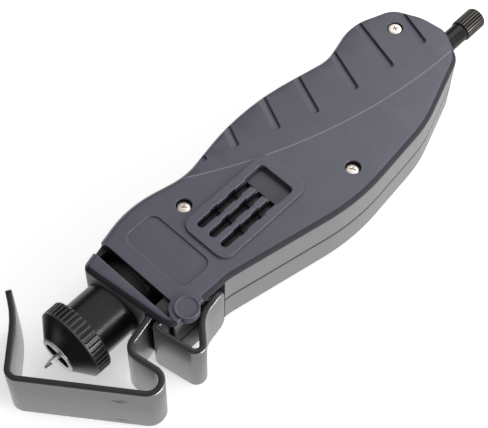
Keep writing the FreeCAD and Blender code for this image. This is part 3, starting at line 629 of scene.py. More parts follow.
def turned_metal(name, base, roughness, scale=(2600, 60, 60), sunk_from=None, rim=None):
    """Metal with tool lines across the axis of the largest scale, painted black as shade behind the X
    sunk_from.

    Rim gives its outside another colour, a painted highlight: that colour, the axis's place, and two radii to
    come in between.
    """
    # fine lines from the lathe, the grinding wheel or the die, which spread the shine
    material, tree = new_material(name)
    spot = add(tree, "ShaderNodeTexCoord")["Object"]
    lines = add(tree, "ShaderNodeMapping", Vector=spot, Scale=scale).noise(1.0, 2.0)
    toned = lines.ramp((0.3, tone(base, 0.82)), (0.7, tone(base, 1.08)))
    rough = lines.ramp((0.3, roughness - 0.05), (0.7, roughness + 0.06))
    metal = 1.0
    if rim is not None:
        rim_colour, centre, inner, outer = rim
        toned = mix(rim_mask(spot, centre, inner, outer), toned, rim_colour)
    if sunk_from is not None:
        # painted shade: near black behind sunk_from
        behind = spot.apart()["X"].remap(sunk_from, sunk_from + 0.1 * MM)
        toned = mix(behind, toned, linear("0C0C0C"))
        metal = 1.0 - behind
    soft = add(tree, "ShaderNodeBevel", {"samples": 4}, Radius=0.08 * MM)
    finish(toned, rough, Normal=lines.bump(0.15, 0.02 * MM, Normal=soft), Metallic=metal)
    return material


def soft_rubber():
    """Nitrile rubber of the screw's ring."""
    # black and dull, with a faint bloom
    material, tree = new_material("nitrile_rubber")
    bloom = add(tree, "ShaderNodeTexCoord")["Object"].noise(900.0, 2.0)
    base = bpy.context.scene.stripper_fasteners.rubber_colour
    finish(bloom.ramp((0.35, tone(base, 1.0)), (0.75, tone(base, 1.8))), 0.75, IOR=1.5)
    return material


def geometry_tree(name, result, inputs):
    """A geometry tree with its result's name and {name: (kind, default)} inputs, and its input node."""
    tree = bpy.data.node_groups.new(name, "GeometryNodeTree")
    for label, (kind, default) in inputs.items():
        socket = tree.interface.new_socket(name=label, in_out="INPUT", socket_type="NodeSocket" + kind)
        if default is not None:
            socket.default_value = default
    tree.interface.new_socket(name=result, in_out="OUTPUT", socket_type="NodeSocketGeometry")
    return tree, add(tree, "NodeGroupInput")


def paint(geometry, material):
    """Ends a geometry tree with its material."""
    painted = add(geometry.tree, "GeometryNodeSetMaterial", Geometry=geometry, Material=material)
    add(geometry.tree, "NodeGroupOutput", i0=painted)


def instances(points, geometry, rotation):
    """The geometry on each point, made real."""
    tree = points.tree
    packed = add(tree, "GeometryNodeGeometryToInstance", Geometry=geometry)
    placed = add(tree, "GeometryNodeInstanceOnPoints", Points=points, Instance=packed, Rotation=rotation)
    return add(tree, "GeometryNodeRealizeInstances", Geometry=placed)


def turn_about_axis_tree(material):
    """Repeats one sector of a turned form round an axis along X, and joins the sectors."""
    inputs = {"Sector": ("Geometry", None), "Count": ("Int", 36), "Axis": ("Vector", None)}
    tree, given = geometry_tree("turn_about_axis", "Sectors", inputs)
    points = add(tree, "GeometryNodePoints", Count=given["Count"], Position=given["Axis"])
    back = add(tree, "ShaderNodeVectorMath", {"operation": "SCALE"}, i0=given["Axis"], Scale=-1.0)
    centred = add(tree, "GeometryNodeTransform", Geometry=given["Sector"], Translation=back)
    angle = add(tree, "GeometryNodeInputIndex") * maths("DIVIDE", math.tau, given["Count"])
    real = instances(points, centred, add(tree, "ShaderNodeCombineXYZ", X=angle))
    paint(add(tree, "GeometryNodeMergeByDistance", Geometry=real, Distance=SECTOR_WELD), material)
    return tree


def coil_tree(material):
    """Coil spring along +Z from the origin, with two closed end turns; Radius is its outer radius."""
    inputs = {"Geometry": ("Geometry", None), "Wire": ("Float", 0.0006), "Radius": ("Float", 0.0023),
              "Turns": ("Float", 4.0), "Length": ("Float", 0.007)}
    tree, given = geometry_tree("coil", "Coil", inputs)
    half = given["Wire"] * 0.5
    mean = given["Radius"] - half
    line = add(tree, "GeometryNodeCurvePrimitiveLine")
    fine = add(tree, "GeometryNodeResampleCurve", Curve=line, Count=161)
    along = add(tree, "GeometryNodeSplineParameter")["Factor"]
    angle = along * (given["Turns"] * math.tau)
    smoothstep = {"interpolation_type": "SMOOTHSTEP"}
    closed = add(tree, "ShaderNodeMapRange", smoothstep, Value=along, i1=0.08, i2=0.92)
    x, y = maths("COSINE", angle) * mean, maths("SINE", angle) * mean
    z = closed * (given["Length"] - given["Wire"]) + half
    spot = add(tree, "ShaderNodeCombineXYZ", X=x, Y=y, Z=z)
    bent = add(tree, "GeometryNodeSetPosition", Geometry=fine, Position=spot)
    ring = add(tree, "GeometryNodeCurvePrimitiveCircle", Resolution=10, Radius=half)
    tube = add(tree, "GeometryNodeCurveToMesh", Curve=bent, Profile_Curve=ring, Fill_Caps=True)
    even = add(tree, "GeometryNodeSetShadeSmooth", Geometry=tube, Shade_Smooth=True)
    paint(add(tree, "GeometryNodeRealizeInstances", Geometry=even), material)
    return tree


def on_points_tree(material):
    """Puts the given geometry on three places, each turned by its own seeded angle about Z."""
    labels = ("Place 1", "Place 2", "Place 3")
    places = {label: ("Vector", None) for label in labels}
    inputs = {"Screw": ("Geometry", None), **places, "Seed": ("Int", 4)}
    tree, given = geometry_tree("on_points", "Screws", inputs)
    joined = add(tree, "GeometryNodeJoinGeometry")
    # the last link made to a join comes first in it
    for label in reversed(labels):
        spot = add(tree, "GeometryNodePoints", Count=1, Position=given[label])
        tree.links.new(spot.node.outputs[0], joined.node.inputs[0])
    settings = {"data_type": "FLOAT"}
    chance = add(tree, "FunctionNodeRandomValue", settings, i2=0.0, i3=math.pi, Seed=given["Seed"])[1]
    paint(instances(joined, given["Screw"], add(tree, "ShaderNodeCombineXYZ", Z=chance)), material)
    return tree


def run_tree(tree, values, start_mesh=None):
    """Evaluates a geometry tree once and returns its result as a plain mesh."""
    carrier = bpy.data.objects.new("carrier", start_mesh or bpy.data.meshes.new("start"))
    bpy.context.scene.collection.objects.link(carrier)
    modifier = carrier.modifiers.new("tree", "NODES")
    modifier.node_group = tree
    for item in tree.interface.items_tree:
        if item.item_type == "SOCKET" and item.in_out == "INPUT" and item.name in values:
            modifier[item.identifier] = values[item.name]
    graph = bpy.context.evaluated_depsgraph_get()
    mesh = bpy.data.meshes.new_from_object(carrier.evaluated_get(graph))
    carrier.modifiers.clear()
    bpy.data.objects.remove(carrier)
    return mesh


# Straight length, turn in degrees and bend radius of each stretch, from the pin outwards, in millimetres
HOOK_BENDS = (
    (6.0, 19.0, 3.0),
    (6.3, 87.9, 3.2),
    (5.2, -153.4, 3.3),
    (28.4, -84.4, 2.6),
    (9.1, 17.5, 26.0),
    (3.2, 0, 0),
)
TRIGGER_BENDS = ((5.4, 119.5, 1.3), (8.7, 127.6, 1.8), (4.3, -38.0, 8.0), (5.3, 0, 0))

# Directions in which both legs leave the loop, and the loop's first and last angle about the pin, in degrees
HOOK_HEADING = 173.0
TRIGGER_HEADING = 161.0
LOOP = (83.0, -109.0)
LOOP_STEPS = 24
# Gap between the pin and the strip's loop
PIN_CLEARANCE = 0.05 * MM

# Longest straight step in millimetres and widest turn in degrees between stations of the strip
STRAIGHT_STEP = 2.0
TURN_STEP = 7

# Extra stations within each rounded end of the strip, and points on each of its rolled edges
CORNER_STATIONS = 6
EDGE_POINTS = 4


def walk(bends, heading, side, radius):
    """Centre line as (point, heading), from the loop about the pin outwards, in millimetres."""
    here = Vector((PIN.x, PIN.y)) / MM + direction(heading + 90 * side) * radius
    samples = [(here.copy(), heading)]
    for straight, turn, bend_radius in bends:
        steps = max(1, round(straight / STRAIGHT_STEP))
        for _ in range(steps):
            here = here + direction(heading) * (straight / steps)
            samples.append((here.copy(), heading))
        steps = math.ceil(abs(turn) / TURN_STEP)
        sign = 1 if turn > 0 else -1
        for _ in range(steps):
            centre = here + direction(heading + 90 * sign) * bend_radius
            heading += turn / steps
            here = centre - direction(heading + 90 * sign) * bend_radius
            samples.append((here.copy(), heading))
    return samples


def direction(degrees):
    return Vector((math.cos(math.radians(degrees)), math.sin(math.radians(degrees))))


def strip_line(thickness):
    """The strip's whole centre line, from the hook's tip round the pin to the trigger's end."""
    radius = (half_width("lever_pin") + PIN_CLEARANCE + thickness / 2) / MM
    hook = walk(HOOK_BENDS, HOOK_HEADING, -1, radius)
    line = [(point, heading + 180) for point, heading in reversed(hook)]
    first, last = LOOP
    for k in range(1, LOOP_STEPS):
        angle = first + (last - first) * k / LOOP_STEPS
        line.append((Vector((PIN.x, PIN.y)) / MM + direction(angle) * radius, angle - 90))
    return line + walk(TRIGGER_BENDS, TRIGGER_HEADING, 1, radius)


def strip_stations(line, corner):
    """Place, heading and run from the hook's tip of each station, with more where the ends are round."""
    points = [p * MM for p, _ in line]
    runs = [0.0]
    for a, b in zip(points, points[1:]):
        runs.append(runs[-1] + (b - a).length)
    total = runs[-1]
    stations = [(point, heading, run) for point, (_, heading), run in zip(points, line, runs)]
    for k in range(1, CORNER_STATIONS + 1):
        reach = corner * (1 - math.cos(math.pi / 2 * k / (CORNER_STATIONS + 1)))
        for run in (reach, total - reach):
            index = next(i for i in range(len(runs) - 1) if runs[i] <= run <= runs[i + 1])
            t = (run - runs[index]) / (runs[index + 1] - runs[index])
            stations.append((points[index].lerp(points[index + 1], t), line[index][1], run))
    return sorted(stations, key=lambda station: station[2])


def strip_mesh():
    """Flat strip with round corners and rolled edges, bent along its centre line."""
    s = bpy.context.scene.stripper_lever
    rolled, corner = s.edge_rounding, s.corner_radius
    stations = strip_stations(strip_line(s.thickness), corner)
    total = stations[-1][2]
    bm = bmesh.new()
    rings = []
    for point, heading, run in stations:
        inset = max(corner - min(run, total - run), 0.0)
        high = s.width / 2 - (corner - math.sqrt(max(corner ** 2 - inset ** 2, 0.0)))
        across = direction(heading + 90)
        ring = []
        for sign_t, sign_z in ((1, 1), (-1, 1), (-1, -1), (1, -1)):
            for k in range(EDGE_POINTS):
                turn = math.pi / 2 * k / (EDGE_POINTS - 1)
                if sign_t * sign_z < 0:
                    turn = math.pi / 2 - turn
                t = sign_t * (s.thickness / 2 - rolled + rolled * math.cos(turn))
                z = sign_z * (high - rolled + rolled * math.sin(turn))
                ring.append(bm.verts.new((point.x + across.x * t, point.y + across.y * t, PIN.z + z)))
        rings.append(ring)
    skin(bm, rings)
    bm.faces.new(rings[0])
    bm.faces.new(list(reversed(rings[-1])))
    mesh = closed_mesh(bm)
    runs = [run for _, _, run in stations for _ in rings[0]]
    mesh.attributes.new("run", "FLOAT", "POINT").data.foreach_set("value", runs)
    smooth(mesh, degrees=50)
    return mesh


def turret_axis():
    return middle("turret_sleeve")


def sleeve_section():
    """Closed (x, radius) section of the sleeve: neck, body with its collar, and groove round the detent."""
    low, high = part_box("turret_sleeve")
    front, rear, collar = low.x, high.x, (high.z - low.z) / 2
    bore, neck, body = 3.03 * MM, 4.25 * MM, collar - 1.1 * MM
    shoulder = front + 0.5 * MM
    collar_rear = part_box("turret_washer")[0].x - 0.1 * MM
    collar_front = collar_rear - 2.7 * MM
    detent, half_groove, floor = middle("detent_spring").x, 1.7 * MM, body - 0.9 * MM
    return [
        (front, bore), (front, neck), (shoulder, neck), (shoulder, body),
        (collar_front, body), (collar_front, collar), (collar_rear, collar), (collar_rear, body),
        (detent - half_groove, body), (detent - half_groove, floor),
        (detent + half_groove, floor), (detent + half_groove, body), (rear, body), (rear, bore),
    ]


def sector_mesh(centre, section, count, depth_at, columns):
    """One of count equal sectors of a turned form, its section's outside sunk by depth_at(x, sideways).

    The section holds (x, radius, outside), where outside is the rim's radius or, where nothing is sunk, None.
    """
    bm = bmesh.new()
    rows = []
    for share in columns:
        angle = math.pi / count * share
        row = []
        for x, radius, outside in section:
            if outside:
                radius = min(radius, outside - depth_at(x, angle * outside))
            y, z = radius * math.sin(angle), radius * math.cos(angle)
            row.append(bm.verts.new((x, centre.y + y, centre.z + z)))
        rows.append(row)
    skin(bm, rows)
    return plain_mesh(bm)


def repeat_sector(sector, centre, count, material, degrees):
    """The whole turned form from one sector, by Geometry Nodes, with its faces turned outwards."""
    values = {"Count": count, "Axis": (0, centre.y, centre.z)}
    mesh = run_tree(turn_about_axis_tree(material), values, sector)
    with edited(mesh) as bm:
        bmesh.ops.remove_doubles(bm, verts=bm.verts, dist=SECTOR_WELD)
        bmesh.ops.recalc_face_normals(bm, faces=bm.faces)
    smooth(mesh, degrees)
    return mesh


def arc_points(centre, radius, first, last, steps):
    """Points of an arc in the section, in degrees from +x towards +radius."""
    turns = [math.radians(first + (last - first) * k / steps) for k in range(steps + 1)]
    return [(centre[0] + radius * math.cos(t), centre[1] + radius * math.sin(t)) for t in turns]


def cut_section(before, outside, after, rim):
    """A sector's section from (x, radius) points, of which only those outside are sunk."""
    groups = ((before, None), (outside, rim), (after, None))
    return [(x, radius, sunk_at) for points, sunk_at in groups for x, radius in points]


def knob_sector(s):
    """One flute's sector of the knob: fluted rim, cone, nose recess and feed chamber."""
    low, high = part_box("depth_knob")
    front, rear = low.x, high.x
    rim, half = s.knob_diameter / 2, s.flute_width / 2
    rim_front, chamfer, soft = rear - 4.35 * MM, 0.4 * MM, 0.07 * MM
    # centre of the round end of each flute
    round_x = rim_front + s.flute_land + half

    def depth_at(x, sideways):
        reach = math.hypot(min(x - round_x, 0), sideways)
        share = min(max((half + soft - reach) / (2 * soft), 0), 1)
        return s.flute_depth * share * share * (3 - 2 * share)

    outer = [(rear, rim - chamfer)] + arc_points((rear - chamfer, rim - chamfer), chamfer, 20, 90, 4)
    outer += [(x, rim) for x in (rear - MM, rear - 1.8 * MM, round_x + 0.8 * MM, round_x + 0.3 * MM)]
    outer += [(round_x - half * step, rim) for step in (0.0, 0.3, 0.55, 0.75, 0.88, 0.97, 1.03, 1.12, 1.3)]
    outer += arc_points((rim_front + chamfer, rim - chamfer), chamfer, 90, 136, 4)
    mouth, floor, bore, wide = 4.85 * MM, front + 0.75 * MM, 3.05 * MM, 5.5 * MM
    # the feed ring still clears the chamber's front at the end of its travel
    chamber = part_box("feed_ring")[0].x - 0.7 * MM
    nose = [(front + 0.25 * MM, mouth + 0.32 * MM), (front + 0.06 * MM, mouth + 0.08 * MM), (front, mouth)]
    inside = [(floor, mouth), (floor, bore), (chamber, bore), (chamber, wide)]
    section = cut_section([(rear, wide)], outer, nose + inside, rim)
    # columns across the sector, as shares of half its pitch, closer together at the flute's edges
    edge, blur = (reach / rim * s.flutes / math.pi for reach in (half, soft))
    side = [edge - 2 * blur, edge - blur, edge, edge + blur, edge + 2 * blur, (1 + edge) / 2, 1.0]
    columns = [-share for share in reversed(side)] + [-edge / 2, 0.0, edge / 2] + side
    return sector_mesh(turret_axis(), section, s.flutes, depth_at, columns)


def end_screw_sector(s):
    """One knurl's sector of the end screw: socket, shank and knurled head."""
    low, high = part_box("rear_screw")
    front, rear = low.x, high.x
    head_x, rim, shank, half = rear - 7 * MM, 2.95 * MM, 2.6 * MM, s.knurl_width / 2
    chamfer, soft, run_out = 0.3 * MM, 0.05 * MM, 0.4 * MM
    socket_x, socket = front + 3.3 * MM, 1.25 * MM

    def depth_at(x, sideways):
        ends = (x - head_x + 0.1 * MM) / run_out
        return s.knurl_depth * max(1 - abs(sideways) / half, 0) * min(max(ends, 0), 1)

    before = [(socket_x, 0.0), (socket_x, socket), (front, socket), (front, shank - chamfer),
              (front + chamfer, shank), (head_x - chamfer, shank), (head_x - soft, shank - soft)]
    head = arc_points((head_x + 0.4 * MM, rim - 0.4 * MM), 0.4 * MM, 180, 90, 4)
    head += arc_points((rear - 0.5 * MM, rim - 0.5 * MM), 0.5 * MM, 90, 0, 5)
    dimple = rear - 0.1 * MM
    back = [(rear, rim - 1.2 * MM), (dimple, rim - 1.4 * MM), (dimple, 0.0)]
    edge = half / rim * s.knurls / math.pi
    columns = [-1.0, -(1 + edge) / 2, -edge, -edge / 2, 0.0, edge / 2, edge, (1 + edge) / 2, 1.0]
    section = cut_section(before, head, back, rim)
    return sector_mesh(middle("rear_screw"), section, s.knurls, depth_at, columns)


def carved(mesh, cutters):
    """The mesh with each cutter taken out of it."""
    blank = bpy.data.objects.new("blank", mesh)
    pieces = [blank]
    for cutter in cutters:
        piece = bpy.data.objects.new("cutter", cutter)
        cut = blank.modifiers.new("cut", "BOOLEAN")
        cut.operation = "DIFFERENCE"
        cut.solver = "EXACT"
        cut.object = piece
        pieces.append(piece)
    for piece in pieces:
        bpy.context.scene.collection.objects.link(piece)
    graph = bpy.context.evaluated_depsgraph_get()
    cut_mesh = bpy.data.meshes.new_from_object(blank.evaluated_get(graph))
    for piece in pieces:
        bpy.data.objects.remove(piece)
    smooth(cut_mesh, CARVED_ANGLE)
    return cut_mesh


def round_slot_cutter(first_x, last_x, centre, length, width):
    """Round-ended bar along X that cuts a slot whose length runs along Y."""
    reach, radius = (length - width) / 2, width / 2
    outline = []
    for side, start in ((1, -90), (-1, 90)):
        for k in range(13):
            turn = math.radians(start + 180 * k / 12)
            outline.append((side * reach + radius * math.cos(turn), radius * math.sin(turn)))
    bm = bmesh.new()
    rings = []
    for x in (first_x, last_x):
        rings.append([bm.verts.new((x, centre.y + y, centre.z + z)) for y, z in outline])
    for ring in rings:
        bm.faces.new(ring)
    skin(bm, rings)
    return closed_mesh(bm)


def guide_mesh(s):
    """Nose disc with its wide round-ended recess, on the stem of the CAD solid."""
    low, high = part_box("blade_guide")
    axis = turret_axis()
    floor = low.x + s.recess_depth
    rim = (high.y - low.y) / 2
    section = [(low.x, 0.0), (low.x, rim), (floor, rim), (floor, 0.0)]
    disc = lathe(rounded_profile(section, 0.2 * MM), axis)
    plate = carved(disc, [round_slot_cutter(low.x - MM, floor + MM, axis, s.recess_length, s.recess_width)])
    stem = merged_copy("blade_guide")
    with edited(stem) as bm:
        everything = bm.verts[:] + bm.edges[:] + bm.faces[:]
        plane = {"plane_co": (floor, 0, 0), "plane_no": (1, 0, 0)}
        cut = bmesh.ops.bisect_plane(bm, geom=everything, clear_inner=True, **plane)["geom_cut"]
        edges = [piece for piece in cut if isinstance(piece, bmesh.types.BMEdge)]
        bmesh.ops.triangle_fill(bm, use_beauty=True, edges=edges, normal=(-1, 0, 0))
        bm.from_mesh(plate)
    smooth(stem, CARVED_ANGLE)
    return stem


# Depth of the cross recess, the share of its length that is left at the bottom, and the width of an arm
CROSS_DEPTH = 0.7 * MM
CROSS_TAPER = 0.62
CROSS_WIDTH = 0.45 * MM


def cross_cutter(length, width):
    """Tapered wedge that cuts one arm of a cross recess."""
    corners = []
    for z, scale in ((0.2 * MM, 1.0), (-CROSS_DEPTH, CROSS_TAPER)):
        x, y = length / 2 * scale, width / 2 * (0.5 + scale / 2)
        corners += [(-x, -y, z), (x, -y, z), (x, y, z), (-x, y, z)]
    bm = bmesh.new()
    verts = [bm.verts.new(corner) for corner in corners]
    for face in ((3, 2, 1, 0), (4, 5, 6, 7), (0, 1, 5, 4), (1, 2, 6, 5), (2, 3, 7, 6), (3, 0, 4, 7)):
        bm.faces.new([verts[i] for i in face])
    return closed_mesh(bm)


def shell_screw_mesh(s):
    """Domed screw with a cross recess, its top at the origin and its shank along -Z."""
    radius, shank = s.head_diameter / 2, MM
    low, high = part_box("shell_screw_middle")
    end, head = low.z - high.z, -1.3 * MM
    outline = [(radius * k / 8, -0.25 * MM * (k / 8) ** 2.2) for k in range(8)]
    outline += [(radius - 0.06 * MM, -0.26 * MM), (radius, -0.36 * MM), (radius, head + 0.05 * MM),
                (radius - 0.05 * MM, head), (shank, head), (shank, end + 0.8 * MM), (0.2 * MM, end), (0, end)]
    bm = bmesh.new()
    profile = [bm.verts.new((r, 0, z)) for r, z in outline]
    edges = [bm.edges.new(pair) for pair in zip(profile, profile[1:])]
    bmesh.ops.spin(bm, geom=profile + edges, cent=(0, 0, 0), axis=(0, 0, 1), angle=math.tau, steps=40)
    bmesh.ops.remove_doubles(bm, verts=bm.verts, dist=WELD)
    arms = [(s.cross_length, CROSS_WIDTH), (CROSS_WIDTH, s.cross_length)]
    return carved(closed_mesh(bm), [cross_cutter(*arm) for arm in arms])


def spring_mesh(node, wire, turns, material):
    """Coil wound along Y in the space of a CAD spring."""
    low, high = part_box(node)
    values = {"Wire": wire, "Radius": half_width(node), "Turns": turns, "Length": high.y - low.y}
    mesh = run_tree(coil_tree(material), values)
    start = middle(node)
    start.y = high.y
    mesh.transform(Matrix.Translation(start) @ Matrix.Rotation(math.pi / 2, 4, "X"))
    return mesh


class STRIPPER_OT_shells(bpy.types.Operator):
    """Finish both moulded half shells"""

    bl_idname = "stripper.shells"
    bl_label = "Shells"

    def execute(self, context):
        nylon = moulded_nylon()
        for node in ("upper_shell", "lower_shell"):
            mesh = merged_copy(node)
            smooth(mesh, degrees=24)
            new_object(node + "_moulded", mesh, nylon, "grip", (node,))
        return {"FINISHED"}


class STRIPPER_OT_lever(bpy.types.Operator):
    """Bend the hook lever out of one strip, and finish its pin and shims"""

    bl_idname = "stripper.lever"
    bl_label = "Hook lever"

    def execute(self, context):
        steel = strip_steel()
        new_object("hook_lever_strip", strip_mesh(), steel, "lever", ("hook_lever",))
        pin_steel = turned_metal("ground_pin_steel", linear("9A9A98"), 0.3)
        dress(("lever_pin", "lever_washer_top", "lever_washer_bottom"), pin_steel)
        return {"FINISHED"}


class STRIPPER_OT_turret(bpy.types.Operator):
    """Turn the sleeve, and finish the blade guide, the blades and the washers"""

    bl_idname = "stripper.turret"
    bl_label = "Turret"

    def execute(self, context):
        s = context.scene.stripper_turret
        # the sleeve gets painted shade where it turns inside the body
        acetal = black_plastic("turned_black_acetal", s.sleeve_colour, 0.26, 0.4 * MM, s.collar_colour)
        mesh = lathe(rounded_profile(sleeve_section(), 0.25 * MM), turret_axis())
        smooth(mesh, degrees=35)
        new_object("turret_sleeve_turned", mesh, acetal, "turret", ("turret_sleeve",))
        # the stalk, inside the body, is coloured with the same painted shade
        dress(("blade_stalk",), black_plastic("turned_black_rod", s.collar_colour, 0.4, 0.4 * MM))
        # the nose disc's recess and the stem behind it get painted shade
        face_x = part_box("blade_guide")[0].x
        aluminium = turned_metal("turned_aluminium", s.guide_colour, 0.36, sunk_from=face_x + 0.22 * MM)
        new_object("blade_guide_turned", guide_mesh(s), aluminium, "turret", ("blade_guide",))
        dress(("cutting_blade", "spare_blade"), turned_metal("ground_tool_steel", s.blade_colour, 0.55))
        washer_steel = turned_metal("washer_steel", linear("4A4A49"), 0.4)
        dress(("turret_washer", "knob_washer", "detent_ball"), washer_steel)
        brass = context.scene.stripper_fasteners.brass_colour
        dress(("feed_ring", "rear_nut"), turned_metal("turned_brass", brass, 0.3))
        return {"FINISHED"}


class STRIPPER_OT_knob(bpy.types.Operator):
    """Build the fluted depth knob from one flute's sector"""

    bl_idname = "stripper.knob"
    bl_label = "Depth knob"

    def execute(self, context):
        s = context.scene.stripper_turret
        nylon = black_plastic("moulded_black_nylon", s.knob_colour, 0.33, 0.3 * MM, ribs=s.rib_colour)
        mesh = repeat_sector(knob_sector(s), turret_axis(), s.flutes, nylon, degrees=42)
        new_object("depth_knob_fluted", mesh, nylon, "dial", ("depth_knob",))
        return {"FINISHED"}


class STRIPPER_OT_screws(bpy.types.Operator):
    """Set one domed cross-recess screw in each of the three recesses"""

    bl_idname = "stripper.screws"
    bl_label = "Shell screws"

    def execute(self, context):
        s = context.scene.stripper_fasteners
        nickel = turned_metal("nickel_plate", s.screw_colour, 0.4, (60, 60, 60))
        values = {}
        for number, node in enumerate(SHELL_SCREWS, 1):
            centre, (_, high) = middle(node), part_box(node)
            values["Place " + str(number)] = (centre.x, centre.y, high.z)
        mesh = run_tree(on_points_tree(nickel), values, shell_screw_mesh(s))
        new_object("shell_screws", mesh, nickel, "grip", SHELL_SCREWS)
        return {"FINISHED"}


class STRIPPER_OT_end_screw(bpy.types.Operator):
    """Build the knurled rear screw and its soft ring"""

    bl_idname = "stripper.end_screw"
    bl_label = "End screw"

    def execute(self, context):
        s = context.scene.stripper_fasteners
        axis = middle("rear_screw")
        # the knurls' ridge tops get a painted highlight
        highlit = (s.knurl_colour, axis, 2.84 * MM, 3.0 * MM)
        oxide = turned_metal("black_oxide_steel", s.rod_colour, 0.34, rim=highlit)
        mesh = repeat_sector(end_screw_sector(s), axis, s.knurls, oxide, degrees=30)
        new_object("end_screw_knurled", mesh, oxide, "end_screw", ("rear_screw",))
        low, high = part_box("screw_oring")
        wire, centre = half_width("screw_oring"), middle("screw_oring")
        ring = arc_points((centre.x, (high.y - low.y) / 2 - wire), wire, 0, 337.5, 15)
        mesh = lathe(ring, centre, segments=64)
        smooth(mesh, degrees=60)
        new_object("screw_oring_soft", mesh, soft_rubber(), "grip", ("screw_oring",))
        return {"FINISHED"}


class STRIPPER_OT_springs(bpy.types.Operator):
    """Wind the return spring and the detent spring"""

    bl_idname = "stripper.springs"
    bl_label = "Springs"

    def execute(self, context):
        s = context.scene.stripper_springs
        wire = turned_metal("drawn_spring_wire", s.steel_colour, 0.3, (900, 900, 900))
        mesh = spring_mesh("detent_spring", s.detent_wire, s.detent_turns, wire)
        new_object("detent_spring_wound", mesh, wire, "grip", ("detent_spring",))
        mesh = spring_mesh("return_spring", s.wire, s.turns, wire)
        coil = new_object("return_spring_wound", mesh, wire, "grip", ("return_spring",))
        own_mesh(coil)
        return {"FINISHED"}


class STRIPPER_OT_stage(bpy.types.Operator):
    """Set the floor, the lights and the camera"""

    bl_idname = "stripper.stage"
    bl_label = "Stage"

    def execute(self, context):
        s = context.scene.stripper_stage
        scene = context.scene
        scene.view_settings.view_transform = "Standard"
        floor = bpy.data.objects.new("floor", plain_square("floor", 3.0))
        scene.collection.objects.link(floor)
        floor.location.z = -0.02 * MM
        floor.data.materials.append(pale_floor())
        light_room(scene, s.sky)
        area_light(scene, "side_light", s.side_power, (0.5, 0.4), (0.2, -0.74, 0.1), (1.0, 0.98, 0.95))
        area_light(scene, "strip_light", s.strip_power, (0.9, 0.05), (0.22, -0.62, 0.43), (1.0, 1.0, 1.0))
        area_light(scene, "top_light", s.top_power, (0.5, 0.5), (0.44, 0.1, 0.46), (1.0, 1.0, 1.0))
        camera = bpy.data.objects.new("camera", bpy.data.cameras.new("camera"))
        scene.collection.objects.link(camera)
        camera.data.lens = s.lens
        camera.data.sensor_width = 36
        camera.data.clip_start = 0.01
        camera.matrix_world = Matrix.Translation(CAMERA_PLACE) @ Matrix(CAMERA_AXES).transposed().to_4x4()
        scene.camera = camera
        return {"FINISHED"}


# The camera solved from the photograph: its place, and its right, up and backward directions
CAMERA_PLACE = (-0.14752, -0.1172, 0.2991)
CAMERA_AXES = ((0.6890, -0.7246, 0.0156), (0.6118, 0.5930, 0.5235), (-0.3886, -0.3511, 0.8519))

# Point that the lights face
LIT_PLACE = Vector((-0.005, 0, 0.01))


def plain_square(name, side):
    mesh = bpy.data.meshes.new(name)
    h = side / 2
    mesh.from_pydata([(-h, -h, 0), (h, -h, 0), (h, h, 0), (-h, h, 0)], [], [(0, 1, 2, 3)])
    return mesh


def pale_floor():
    """White card, seen white by the camera and in reflections, with the soft shadow kept."""
    material, tree = new_material("white_card")
    path = add(tree, "ShaderNodeLightPath")
    matt = add(tree, "ShaderNodeBsdfDiffuse", Color=shade(0.86))
    glow = add(tree, "ShaderNodeEmission", Color=WHITE, Strength=0.5)
    lit = add(tree, "ShaderNodeAddShader", i0=matt, i1=glow)
    white = add(tree, "ShaderNodeEmission", Color=WHITE, Strength=1.0)
    seen = add(tree, "ShaderNodeMixShader", Fac=path["Is Camera Ray"], i1=matt, i2=lit)
    mirrored = maths("MAXIMUM", path["Is Glossy Ray"], path["Is Transmission Ray"])
    surface = add(tree, "ShaderNodeMixShader", Fac=mirrored, i1=seen, i2=white)
    add(tree, "ShaderNodeOutputMaterial", Surface=surface)
    return material


def light_room(scene, strength):
    """White room: an even light, seen white by the camera, with a dimmer ceiling in reflections."""
    world = bpy.data.worlds.new("room")
    world.use_nodes = True
    tree = world.node_tree
    tree.nodes.clear()
    height = add(tree, "ShaderNodeTexCoord")["Generated"].apart()["Z"]
    wall = height.ramp((0.0, 0.02), (0.44, 0.03), (0.56, 0.6), (1.0, 0.62))
    path = add(tree, "ShaderNodeLightPath")
    even = add(tree, "ShaderNodeBackground", Color=WHITE, Strength=strength)
    white = add(tree, "ShaderNodeBackground", Color=WHITE, Strength=1.0)
    mirrored = add(tree, "ShaderNodeBackground", Color=wall, Strength=1.0)
    lit = add(tree, "ShaderNodeMixShader", Fac=path["Is Glossy Ray"], i1=even, i2=mirrored)
    direct = maths("MAXIMUM", path["Is Camera Ray"], path["Is Transmission Ray"])
    seen = add(tree, "ShaderNodeMixShader", Fac=direct, i1=lit, i2=white)
    add(tree, "ShaderNodeOutputWorld", Surface=seen)
    scene.world = world


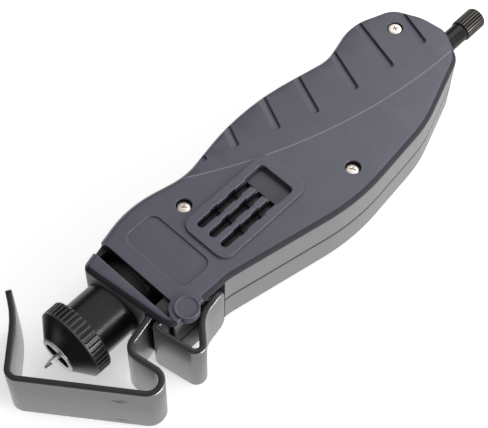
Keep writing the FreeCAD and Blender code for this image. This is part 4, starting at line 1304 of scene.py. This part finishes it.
def area_light(scene, name, power, sides, place, tint):
    """Rectangular light that faces the tool."""
    light = bpy.data.lights.new(name, "AREA")
    light.energy = power
    light.color = tint
    light.shape = "RECTANGLE"
    light.size, light.size_y = sides
    lamp = bpy.data.objects.new(name, light)
    scene.collection.objects.link(lamp)
    lamp.location = place
    lamp.rotation_euler = (LIT_PLACE - Vector(place)).to_track_quat("-Z", "Y").to_euler()


class STRIPPER_PT_panel(bpy.types.Panel):
    """Sizes and colours of the stripper, and a button for each group of pieces"""

    bl_idname = "STRIPPER_PT_panel"
    bl_label = "Round Cable Stripper"
    bl_space_type = "VIEW_3D"
    bl_region_type = "UI"
    bl_category = "Stripper"

    def draw(self, context):
        for group, (settings, *operators) in GROUPS.items():
            block = self.layout.box()
            for name in settings.__annotations__:
                block.prop(getattr(context.scene, group), name)
            for operator in operators:
                block.operator(operator.bl_idname)


# Each group of settings in the scene, with the operators that use it
GROUPS = {
    "stripper_shell": (ShellSettings, STRIPPER_OT_shells),
    "stripper_lever": (LeverSettings, STRIPPER_OT_lever),
    "stripper_turret": (TurretSettings, STRIPPER_OT_turret, STRIPPER_OT_knob),
    "stripper_fasteners": (FastenerSettings, STRIPPER_OT_screws, STRIPPER_OT_end_screw),
    "stripper_springs": (SpringSettings, STRIPPER_OT_springs),
    "stripper_stage": (StageSettings, STRIPPER_OT_stage),
}
CLASSES = [cls for group in GROUPS.values() for cls in group] + [STRIPPER_PT_panel]


def register():
    for cls in CLASSES:
        bpy.utils.register_class(cls)
    for name, (settings, *_) in GROUPS.items():
        setattr(bpy.types.Scene, name, PointerProperty(type=settings))


def unregister():
    for name in GROUPS:
        delattr(bpy.types.Scene, name)
    for cls in reversed(CLASSES):
        bpy.utils.unregister_class(cls)


def main():
    register()
    bpy.ops.stripper.stage()
    bpy.ops.stripper.shells()
    bpy.ops.stripper.lever()
    bpy.ops.stripper.turret()
    bpy.ops.stripper.knob()
    bpy.ops.stripper.screws()
    bpy.ops.stripper.end_screw()
    bpy.ops.stripper.springs()


if __name__ == "__main__":
    main()
